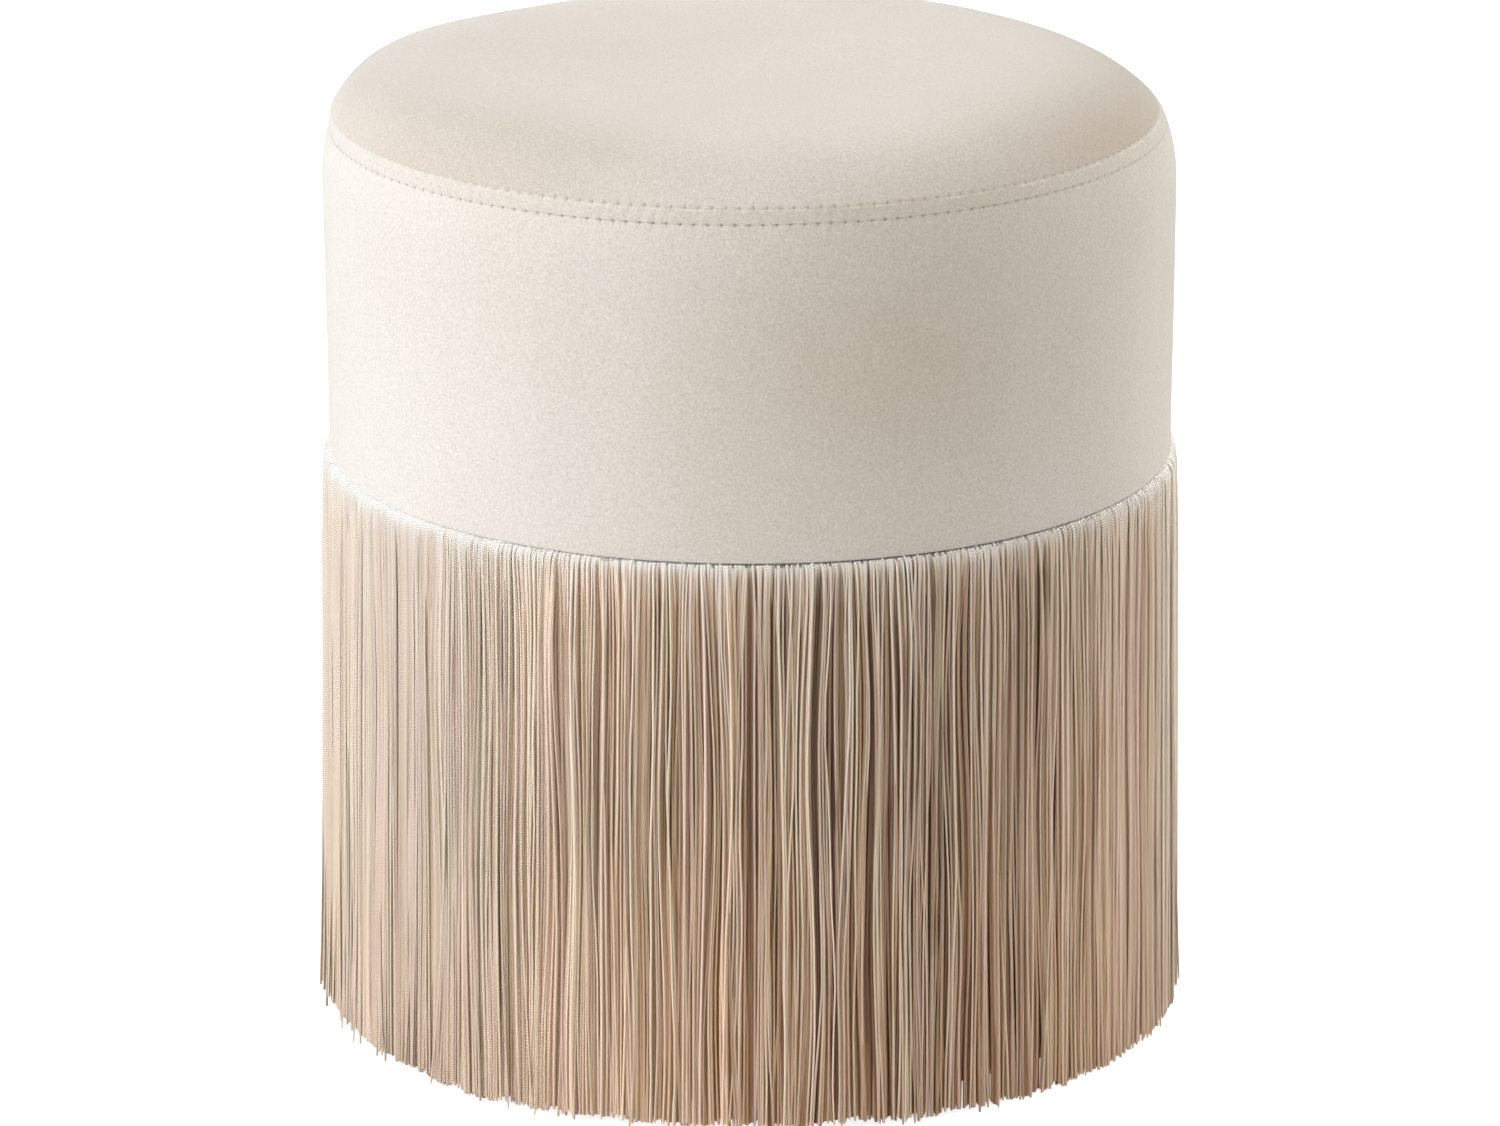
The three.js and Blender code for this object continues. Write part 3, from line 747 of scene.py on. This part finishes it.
# The lining is woven a dark brown, deeper than its own cloth, so that it also serves as painted shade in
# the gaps between the cords.
cotton = woven("plain_cotton", (0.34, 0.23, 0.15, 1), (0.52, 0.38, 0.26, 1), 0.0009)
lining = turned("cotton_lining", lining_rings, closed=True)
lining.data.materials.append(cotton)
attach(lining, "root")
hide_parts("side_lining")

# Dust cover. A disc of black spun-bonded cloth closes the underside, its edge turned in and
# stapled to the base board. It sags a fraction of a millimetre between the staples.
dust_low, dust_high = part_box("dust_cover")
DUST_CLOTH = 0.0004
DUST_SAG = ([4, 9], [0.00006, 0.00004], [0.3, 2.6])
STAPLES = 40
STAPLE_RING = 0.170
STAPLE_PULL = 0.0001
STAPLE_PULL_SPREAD = 0.012
STAPLE_HALF = 0.005
STAPLE_WIRE = 0.0003
STAPLE_SIDES = 6
dust_face = dust_low.z + 0.0001
dust_angle = angles(STAPLES * 6)
under_rings, over_rings = [ring(0, dust_face, 1)], [ring(0, dust_face + DUST_CLOTH, 1)]
for share in np.linspace(0, 1, 16)[1:]:
    near_staple = fade(share * dust_high.x - STAPLE_RING, STAPLE_PULL_SPREAD)
    slack = -STAPLE_PULL * np.cos(STAPLES * dust_angle) * near_staple
    slack = slack + share * waves(dust_angle, *DUST_SAG)
    radius = share * dust_high.x + 0 * dust_angle
    under_rings.append((radius, dust_face + slack))
    over_rings.append((radius, dust_face + DUST_CLOTH + slack))
spun_cloth = grained("spun_bonded_cloth", (0.012, 0.012, 0.013, 1), (0.035, 0.035, 0.037, 1),
                     (700, 700, 700), 0.85, 0.0002)
dust = turned("dust_cover_cloth", under_rings + over_rings[::-1])
dust.data.materials.append(spun_cloth)
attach(dust, "root")
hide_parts("dust_cover")

staple_angle = ((np.arange(STAPLES) + 0.5) * 2 * np.pi / STAPLES)[:, None, None]
across_staple = np.array([-1, -0.97, -0.85, 0.85, 0.97, 1])[:, None] * STAPLE_HALF
staple_depth = np.array([0.0006, 0.0001, -0.0001, -0.0001, 0.0001, 0.0006])[:, None]
wide = np.ones((STAPLES, len(across_staple), 1))
cosine, sine, flat = np.cos(staple_angle), np.sin(staple_angle), 0 * staple_angle
away = np.concatenate([cosine, sine, flat], axis=-1) * wide
around = np.concatenate([-sine, cosine, flat], axis=-1) * wide
upward = np.array([0.0, 0.0, 1.0]) * wide
staple_middle = STAPLE_RING * away + across_staple * around + (dust_low.z + staple_depth) * upward
staples = tubes("staples", staple_middle, away, upward, STAPLE_WIRE * wide[..., 0], STAPLE_SIDES)
staples.data.materials.append(zinc)
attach(staples, "root")

# Fringe heading. A woven tape is folded over the ends of the cords and sewn behind the hem, which
# hides it.
QUARTERS = ["front", "right", "back", "left"]
HEADING_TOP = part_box("fringe_front")[1].z
HEADING_INNER = 0.1831
HEADING_OUTER = 0.1873
TAPE = 0.0005
FOLD_TOP = HEADING_TOP - 0.0001
FOLD_SIDE = HEADING_TOP - 0.0008
FOLD_UNDER = HEADING_TOP - 0.0012
FOLD_ROUNDING = 0.0006
hem_top = HEM_HEIGHT + CLEARANCE
heading_profile = [
    (HEADING_OUTER, hem_top),
    (HEADING_OUTER, FOLD_SIDE),
    (HEADING_OUTER - FOLD_ROUNDING, FOLD_TOP),
    (HEADING_INNER + FOLD_ROUNDING, FOLD_TOP),
    (HEADING_INNER, FOLD_SIDE),
    (HEADING_INNER, hem_top),
    (HEADING_INNER + TAPE, hem_top),
    (HEADING_INNER + TAPE, FOLD_UNDER),
    (HEADING_OUTER - TAPE, FOLD_UNDER),
    (HEADING_OUTER - TAPE, hem_top)]
tape_weave = woven("heading_tape", (0.42, 0.32, 0.22, 1), (0.60, 0.48, 0.36, 1), 0.0006)
heading = turned("fringe_heading", [ring(r, h, CROWN_TURNS) for r, h in heading_profile], closed=True)
heading.data.materials.append(tape_weave)
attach(heading, "root")
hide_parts(*[f"fringe_{quarter}" for quarter in QUARTERS])

# Fringe cords. Rayon cords, twisted from two yarns, hang in three rows from the heading. They bulge as
# they leave the hem, lean, bunch and cross as they hang, and are cut by hand, a few of them too long or
# too short. Each was dyed a little differently, and light and shade are painted on them by the angle and
# the height, with a painted highlight at the head and painted shade in the inner rows.
CORD_ROWS = 3
CORD_RADIUS = 0.00053
CORD_PITCH = 0.0011
CORD_SIDES = 4
FLOOR_GAP = 0.0042
LEAST_GAP = 0.0008
FLARE = 0.0042
CORD_DROPS = np.array([-0.008, -0.0006, 0.0003, 0.0008, 0.002, 0.0036, 0.0075, 0.02, 0.038, 0.058,
                       0.08, 0.102, 0.124, 0.146, 0.168, 0.19, 0.212, 0.234, 1])
CORD_BULGES = np.array([-0.0018, -0.0015, -0.0009, 0.0003, 0.0012, 0.0019, 0.0022, 0.0019])
ROOT_STEP = 0.0007
ROW_STEP = 0.0012
STEP_DROPS = [-0.0006, 0.0045]
CUT_WANDER = ([23, 47, 83, 131], [0.0005, 0.0005, 0.0004, 0.0004], [0.8, 2.9, 5.0, 1.6])
CUT_SPREAD = 0.0007
ROW_CUT = 0.0001
STRAY_SHARE = 0.09
STRAY_CUT = (-0.0065, 0.003)
STRAY_REACH = 0.0022
STRAY_LEAN = 0.003
FREE_DROP = 0.03
RIPPLE = ([31, 53, 89, 137], [0.0004, 0.0004, 0.00035, 0.0003], [1.2, 4.4, 0.6, 2.8])
DEPTH_SPREAD = 0.0015
DEPTH_MOST = 0.0022
DEPTH_SWAY = 0.0006
BULGE_STRETCH = (0.75, 1.3)
BUNCH = ([71, 109, 163, 241], [0.00045, 0.00045, 0.0004, 0.0003], [0.3, 1.9, 4.1, 2.2])
DRIFT = ([59, 97, 149], [0.0004, 0.0004, 0.0003], [5.3, 0.9, 3.1])
SWING = ([17, 37], [0.0009, 0.0006], [1.1, 3.7])
BEND_SLOW = 0.0006
BEND_QUICK = 0.0004
BEND_QUICKEST = 0.0002
END_SIDEWAYS = 0.0013
END_CURL = 0.0012


def hand_cut(angle):
    """How much shorter the fringe was cut: shorter at the left edge, and longer at the right and
    left of the middle."""
    left, right, front_left = hump(angle, 3.25, 0.3), hump(angle, 5.7, 0.55), hump(angle, 4.03, 0.16)
    return 0.004 * left - 0.0034 * right - 0.0018 * front_left


def tousle(angle):
    """How loosely the cords hang: combed smooth at the sides, and ruffled in front and behind, and
    a little more at the right of the front."""
    front_and_back = hump(angle, 4.95, 0.85) + hump(angle, 1.7, 0.85)
    return 0.17 + 0.92 * front_and_back + 0.14 * hump(angle, 5.75, 0.3)


def between(total, low, high):
    """A draw for each cord, even between two values."""
    return random.uniform(low, high, (total, 1))


def scatter(total, spread):
    """A draw for each cord, on the normal curve round 0."""
    return random.normal(0, spread, (total, 1))


def hang(start, count):
    """The paths of three rows of cords round a quarter of the hem, from an angle on. A path is a
    radius and an angle at each drop below the hem. The radius bulges and then flares, a little
    different in each cord, and ripples where cords bunch. The angle is moved by waves and a swing
    that the whole fringe shares, and by bends of the cord's own: sines and powers of the share down
    the cord. Most of it is less at the sides, and in the inner rows, which hang straight and close.
    The strays are longer or shorter, and stand out and lean at their ends."""
    row = np.repeat(np.arange(CORD_ROWS), count)[:, None]
    total = CORD_ROWS * count
    place = np.tile(np.arange(count), CORD_ROWS)[:, None] + row / CORD_ROWS + 0.5
    angle = start + place * (math.pi / 2) / count
    loose_here = tousle(angle)
    shift = between(total, -1, 1) * loose_here * (1 - 0.45 * row) * CORD_PITCH / HEM_RADIUS
    angle = angle + shift
    trim = waves(angle, *CUT_WANDER)
    trim = trim + scatter(total, CUT_SPREAD) + ROW_CUT * row + hand_cut(angle)
    stray = (random.random((total, 1)) < STRAY_SHARE) * (row < 2)
    trim = trim + stray * between(total, *STRAY_CUT)
    length = HEM_HEIGHT - FLOOR_GAP - np.maximum(trim, LEAST_GAP - FLOOR_GAP)
    below = np.minimum(CORD_DROPS[None, :], length)
    down = np.clip(below / length, 0, 1)
    loose = np.clip(below / FREE_DROP, 0, 1) ** 0.8
    even = 1 - 0.6 * down ** 3 * hump(angle, 4.15, 0.45)
    ruffle = loose_here * np.minimum(1, 0.35 + loose_here)

    ripple = waves(angle + 0.01 * down, *RIPPLE)
    depth = np.clip(scatter(total, DEPTH_SPREAD), -DEPTH_MOST, DEPTH_MOST) * ruffle * (1 - 0.2 * row)
    sway = np.sin(2 * np.pi * (down + between(total, 0, 1)))
    depth = depth + scatter(total, DEPTH_SWAY) * ruffle * sway
    bulge = np.interp(below * between(total, *BULGE_STRETCH), CORD_DROPS[:8], CORD_BULGES)
    tucked = np.interp(below, STEP_DROPS, [ROOT_STEP, ROW_STEP])
    tucked = tucked * np.minimum(1, 0.1 + 0.9 * loose_here)
    radius = HEM_RADIUS + bulge - row * tucked + (depth * even + ripple) * loose + FLARE * down ** 1.1
    radius = radius + stray * between(total, 0, STRAY_REACH) * down ** 4

    bunch = waves(angle + 0.05 * row, *BUNCH)
    drift = waves(angle + 0.02 * down, *DRIFT)
    swing = waves(angle, *SWING) * (np.sin(8 * down + 3 * angle) - np.sin(3 * angle))
    phase = random.uniform(0, 2 * np.pi, (total, 3))
    slow, quick, quickest = phase[:, :1], phase[:, 1:2], phase[:, 2:]
    own = scatter(total, BEND_SLOW) * (np.sin(3 * down + slow) - np.sin(slow))
    own = own + scatter(total, BEND_QUICK) * (np.sin(9 * down + quick) - np.sin(quick))
    own = own + scatter(total, BEND_QUICKEST) * np.sin(20 * down + quickest)
    own = own + scatter(total, END_SIDEWAYS) * down + scatter(total, END_CURL) * down ** 3
    lean = stray * scatter(total, STRAY_LEAN) * down ** 3
    moved = (bunch * loose_here + own * (0.35 + 0.65 * loose_here)) * loose * (1 - 0.47 * row)
    moved = moved + drift * (0.1 + 0.9 * loose_here) * loose * (1 - 0.42 * row)
    angle = angle + (moved + swing * loose + lean) / HEM_RADIUS
    return row, loose_here, below, down, even, radius, angle, slow


HARDNESS = 0.9
SOFT_HEAD = 0.7
SOFT_DROP = 0.006


def soften(strands, away, along, radius, angle, below, loose_here):
    """Lights the cords as soft bundles of fibres: the normals lie between the prism's own and those
    of the fringe as a whole, which face out from the drum, at a right angle to the slope of the
    path. They keep more of their own where the cords hang loose, and less by the head."""
    turn = (np.arange(CORD_SIDES) * 2 * np.pi / CORD_SIDES)[:, None]
    own_way = np.cos(turn) * away[:, :, None, :] + np.sin(turn) * along[:, :, None, :]
    outward = np.gradient(HEM_HEIGHT - below, axis=1) * -1
    upward = np.gradient(radius, axis=1)
    steep = np.hypot(outward, upward)
    fringe_way = np.stack([np.cos(angle) * outward, np.sin(angle) * outward, upward], axis=-1)
    fringe_way = fringe_way / steep[..., None]
    hardness = HARDNESS * loose_here * (1 - SOFT_HEAD * fade(below, SOFT_DROP))
    softness = (1 - hardness)[:, :, None, None]
    lit_way = own_way * (1 - softness) + fringe_way[:, :, None, :] * softness
    lit_way /= np.linalg.norm(lit_way, axis=-1, keepdims=True)
    strands.data.normals_split_custom_set_from_vertices(lit_way.reshape(-1, 3).tolist())


def unroll(strands, below):
    """A UV map in which U is the share of the way round a cord, and V how far down it a point lies,
    in metres below the hem. It is 0 on the caps at the ends."""
    total, stations = below.shape
    shape = (total, stations - 1, CORD_SIDES)
    side = np.arange(CORD_SIDES) / CORD_SIDES * np.ones(shape)
    step = 1 / CORD_SIDES
    near_end, far_end = below[:, :-1, None] * np.ones(shape), below[:, 1:, None] * np.ones(shape)
    corners = np.stack([
        np.stack([side, near_end], axis=-1), np.stack([side, far_end], axis=-1),
        np.stack([side + step, far_end], axis=-1), np.stack([side + step, near_end], axis=-1)], axis=3)
    caps = np.zeros((2 * total * CORD_SIDES, 2))
    lay = strands.data.uv_layers.new(name="lay")
    lay.data.foreach_set("uv", np.vstack([corners.reshape(-1, 2), caps]).ravel().astype(np.float32))


CORD_TINT = np.array([0.95, 0.765, 0.61])
HEAD_HIGHLIGHT = np.array([1.03, 1.01, 1.0])
BRIGHTEST = 1.03
PALER = np.array([0.2, 0.24, 0.28])
PINK_TO_OLIVE = np.array([0.6, -1, 0.7])
BROWN_TO_GREY = np.array([0.5, 0, -1])
WARMER = np.array([0.09, 0.0, -0.08])
ROW_SHADES = np.array([[1, 1, 1], [0.7, 0.58, 0.47], [0.4, 0.29, 0.2]])
DYE_MOST = 2.4
DYE_SHIFT = 0.02
DYE_WAVES = ([19, 43, 67, 101], [0.03, 0.03, 0.03, 0.03], [2.0, 0.7, 4.9, 3.3])
DARKEST_DYE = 0.15
PATCHES = 0.012
HIGHLIGHT_DROP = (0.0022, 0.0085)
CREVICE_DROP = (0.0002, 0.0009)
CREVICE_PAINTED_SHADE = 0.9


def painted_light_shade(angle, down, loose_here):
    """Painted light and shade on the fringe, by the angle and the share down the cord. It is paler
    towards the ends where it hangs loose, under the hem left of the middle, and at the ends in the
    middle. It is deeper halfway down left of the middle, below the hem right of the middle, and at the
    ends by the left and right edges."""
    change = down * (0.5 * (loose_here - 0.6) - 0.07 * hump(angle, 3.85, 0.2))
    change = change - 0.14 * hump(angle, 5.9, 0.2) * down ** 3
    change = change + 0.23 * hump(angle, 4.4, 0.22) * fade(down, 0.22)
    change = change - 0.13 * hump(angle, 4.5, 0.55) * fade(down - 0.45, 0.2)
    change = change + (0.26 * hump(angle, 4.66, 0.18) - 0.2 * hump(angle, 4.4, 0.3)) * down ** 3
    return change - 0.2 * hump(angle, 5.15, 0.3) * (1 - fade(down, 0.25))


def dye(strands, row, loose_here, below, down, even, angle, slow):
    """The colour of each cord. The tint of the yarn is made paler or deeper and turned a little to
    another hue, by a draw for the cord and by waves that the fringe shares, and made paler or deeper by
    the angle as painted light and shade. It is darker in the inner rows as painted shade and warmer
    further down, pale at the head as a painted highlight, and dark where a cord leaves the heading as
    painted shade in the crevice."""
    total = len(row)
    draw = np.clip(random.normal(0, 1, (total, 3)), -DYE_MOST, DYE_MOST)
    root = angle[:, :1]
    shared = waves(root, *DYE_WAVES)
    # Painted shade at the left of the front, and painted light at the right of the front and a little in
    # the middle.
    angle_light_shade = 0.14 * hump(root, 3.9, 0.26) - 0.12 * hump(root, 5.8, 0.45) - 0.05 * hump(root, 4.75, 0.3)
    spread = (0.35 + 0.7 * loose_here) * (1 + 0.5 * hump(root, 4.8, 0.7)) * draw[:, :1] * PALER
    spread = (spread + shared * loose_here)[:, None, :]
    # The inner rows are painted darker, as painted shade behind the front row, less where the cords are
    # combed smooth.
    row_shade = ROW_SHADES[row] ** (np.maximum(0.03, 1.2 * loose_here - 0.25) * even)[..., None]
    hue = np.maximum(DARKEST_DYE, 1 + spread * even[..., None] - angle_light_shade[:, None, :])
    turned_hue = DYE_SHIFT * draw[:, 1:2] * PINK_TO_OLIVE + DYE_SHIFT * draw[:, 2:3] * BROWN_TO_GREY
    own_tint = CORD_TINT * (1 + turned_hue)
    patches = PATCHES * np.sin(9 * down + slow)[..., None] * PINK_TO_OLIVE
    warmth_and_painted_light = 1 + (down[..., None] - 0.3) * WARMER + patches
    # Painted light and shade by the angle and the height are added here.
    warmth_and_painted_light = warmth_and_painted_light + painted_light_shade(angle, down, loose_here)[..., None]
    # Near white at the head is a painted highlight, which fades within a few millimetres below the hem.
    highlight_drop = between(total, *HIGHLIGHT_DROP)
    head_highlight = np.exp(-np.maximum(0, below / highlight_drop) ** 1.5)[..., None] * row_shade ** 0.25
    # The cords are painted dark just below the hem, as painted shade in the crevice.
    hidden = below < between(total, *CREVICE_DROP)
    crevice_shade = 1 - CREVICE_PAINTED_SHADE * np.minimum(1, loose_here ** 2) * hidden
    hue = own_tint[:, None, :] * row_shade * hue * warmth_and_painted_light * (1 - head_highlight) + HEAD_HIGHLIGHT * head_highlight
    hue = hue * crevice_shade[..., None]
    tint = np.ones((total, len(CORD_DROPS), CORD_SIDES, 4))
    tint[..., :3] = (hue * np.minimum(1, BRIGHTEST / hue.max(axis=-1, keepdims=True)))[:, :, None, :]
    stain = strands.data.color_attributes.new("cord_tint", "FLOAT_COLOR", "POINT")
    stain.data.foreach_set("color", tint.ravel().astype(np.float32))


THICKNESS = (0.78, 1.2)
INNER_THICKER = 0.09
HEAD_THICKER = 0.25
HEAD_DROP = 0.004


def cords(name, start, count):
    """A quarter of the fringe: prisms along the paths, each turned by chance and of its own
    thickness, which is greater in the inner rows and at the head."""
    row, loose_here, below, down, even, radius, angle, slow = hang(start, count)
    total = len(row)
    middle = np.stack([radius * np.cos(angle), radius * np.sin(angle), HEM_HEIGHT - below], axis=-1)
    spin = between(total, 0, 2 * np.pi) + 0 * angle
    away = np.stack([np.cos(angle + spin), np.sin(angle + spin), 0 * angle], axis=-1)
    along = np.stack([-np.sin(angle + spin), np.cos(angle + spin), 0 * angle], axis=-1)
    thick = CORD_RADIUS * (between(total, *THICKNESS) + INNER_THICKER * row ** 2)
    thick = thick * (1 + HEAD_THICKER * fade(below, HEAD_DROP))
    strands = tubes(name, middle, away, along, thick, CORD_SIDES)
    soften(strands, away, along, radius, angle, below, loose_here)
    unroll(strands, below)
    dye(strands, row, loose_here, below, down, even, angle, slow)
    return strands


TWIST_PITCH = 0.0021


def rayon():
    """Silky two-ply cord: its own tint, painted darker in the groove between the plies as painted shade
    and lighter on the plies as painted light, along a helix read from how far round and how far down the
    cord a point lies."""
    cord, tree, shader = finish("rayon_cord", {
        "Roughness": 0.35, "Specular IOR Level": 0.8, "Sheen Weight": 0.2, "Sheen Roughness": 0.4})
    tint = add(tree, "ShaderNodeAttribute")
    tint.attribute_name = "cord_tint"
    lay = add(tree, "ShaderNodeUVMap")
    lay.uv_map = "lay"
    parts = add(tree, "ShaderNodeSeparateXYZ")
    helix = add(tree, "ShaderNodeMath", {1: 1 / TWIST_PITCH}, "MULTIPLY_ADD")
    twice = add(tree, "ShaderNodeMath", {1: 4 * math.pi}, "MULTIPLY")
    groove = add(tree, "ShaderNodeMath", operation="SINE")
    # Painted shade in the groove and painted light on the plies scale the tint here.
    shade = add(tree, "ShaderNodeMapRange", {"From Min": -1, "To Min": 0.5, "To Max": 1.3})
    yarn_groove_shade = add(tree, "ShaderNodeVectorMath", operation="SCALE")
    relief = add(tree, "ShaderNodeBump", {"Strength": 0.6, "Distance": 0.0003})
    wire(tree,
         (lay, "UV", parts, "Vector"), (parts, "Y", helix, 0), (parts, "X", helix, 2),
         (helix, "Value", twice, 0), (twice, "Value", groove, 0), (groove, "Value", shade, "Value"),
         (tint, "Color", yarn_groove_shade, 0), (shade, "Result", yarn_groove_shade, "Scale"),
         (yarn_groove_shade, "Vector", shader, "Base Color"), (groove, "Value", relief, "Height"),
         (relief, "Normal", shader, "Normal"))
    return cord


cord_finish = rayon()
per_quarter = round(math.pi / 2 * HEM_RADIUS / CORD_PITCH)
for number, quarter in enumerate(QUARTERS):
    begin = (number - 1) * math.pi / 2 - math.pi / 4
    strands = cords(f"cords_{quarter}", begin, per_quarter)
    strands.data.materials.append(cord_finish)
    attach(strands, "root")
    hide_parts(f"fringe_{quarter}")

# Glides. Four moulded black discs hold the base clear of the floor, each with a rounded sole and a
# recess for its screw.
GLIDE_TURNS = 48
GLIDE_TAPER = 0.002
GLIDE_BORE = 0.0023
GLIDE_BEVEL = 0.0004
GLIDE_RIM = 0.0012
SCREW_HEAD = 0.0029
SOLE_FILLET = 0.0016
moulded = grained("black_plastic", (0.016, 0.016, 0.018, 1), (0.024, 0.024, 0.026, 1),
                  (800, 800, 800), 0.45, 0.00004)
bend = np.linspace(0, np.pi / 2, 5)
for number in range(1, 5):
    glide_low, glide_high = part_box(f"glide_{number}")
    screw_low, screw_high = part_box(f"glide_screw_{number}")
    top_radius = (glide_high.x - glide_low.x) / 2
    recess_radius = (screw_high.x - screw_low.x) / 2 + CLEARANCE
    screw_seat = screw_low.z + SCREW_HEAD
    sole_radius = top_radius - GLIDE_TAPER - SOLE_FILLET
    profile = [(GLIDE_BORE, glide_high.z), (GLIDE_BORE, screw_seat), (recess_radius, screw_seat),
               (recess_radius, GLIDE_BEVEL), (recess_radius + GLIDE_BEVEL, 0)]
    profile += [(sole_radius + SOLE_FILLET * math.sin(b), SOLE_FILLET * (1 - math.cos(b))) for b in bend]
    profile += [(top_radius, glide_high.z - GLIDE_RIM), (top_radius - GLIDE_BEVEL, glide_high.z)]
    glide = turned(f"glide_disc_{number}", [ring(r, h, GLIDE_TURNS) for r, h in profile], closed=True)
    place = np.zeros(3 * len(glide.data.vertices))
    glide.data.vertices.foreach_get("co", place)
    middle = np.array([(glide_low.x + glide_high.x) / 2, (glide_low.y + glide_high.y) / 2, 0])
    glide.data.vertices.foreach_set("co", (place.reshape(-1, 3) + middle).ravel())
    glide.data.materials.append(moulded)
    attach(glide, "root")
    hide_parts(f"glide_{number}")
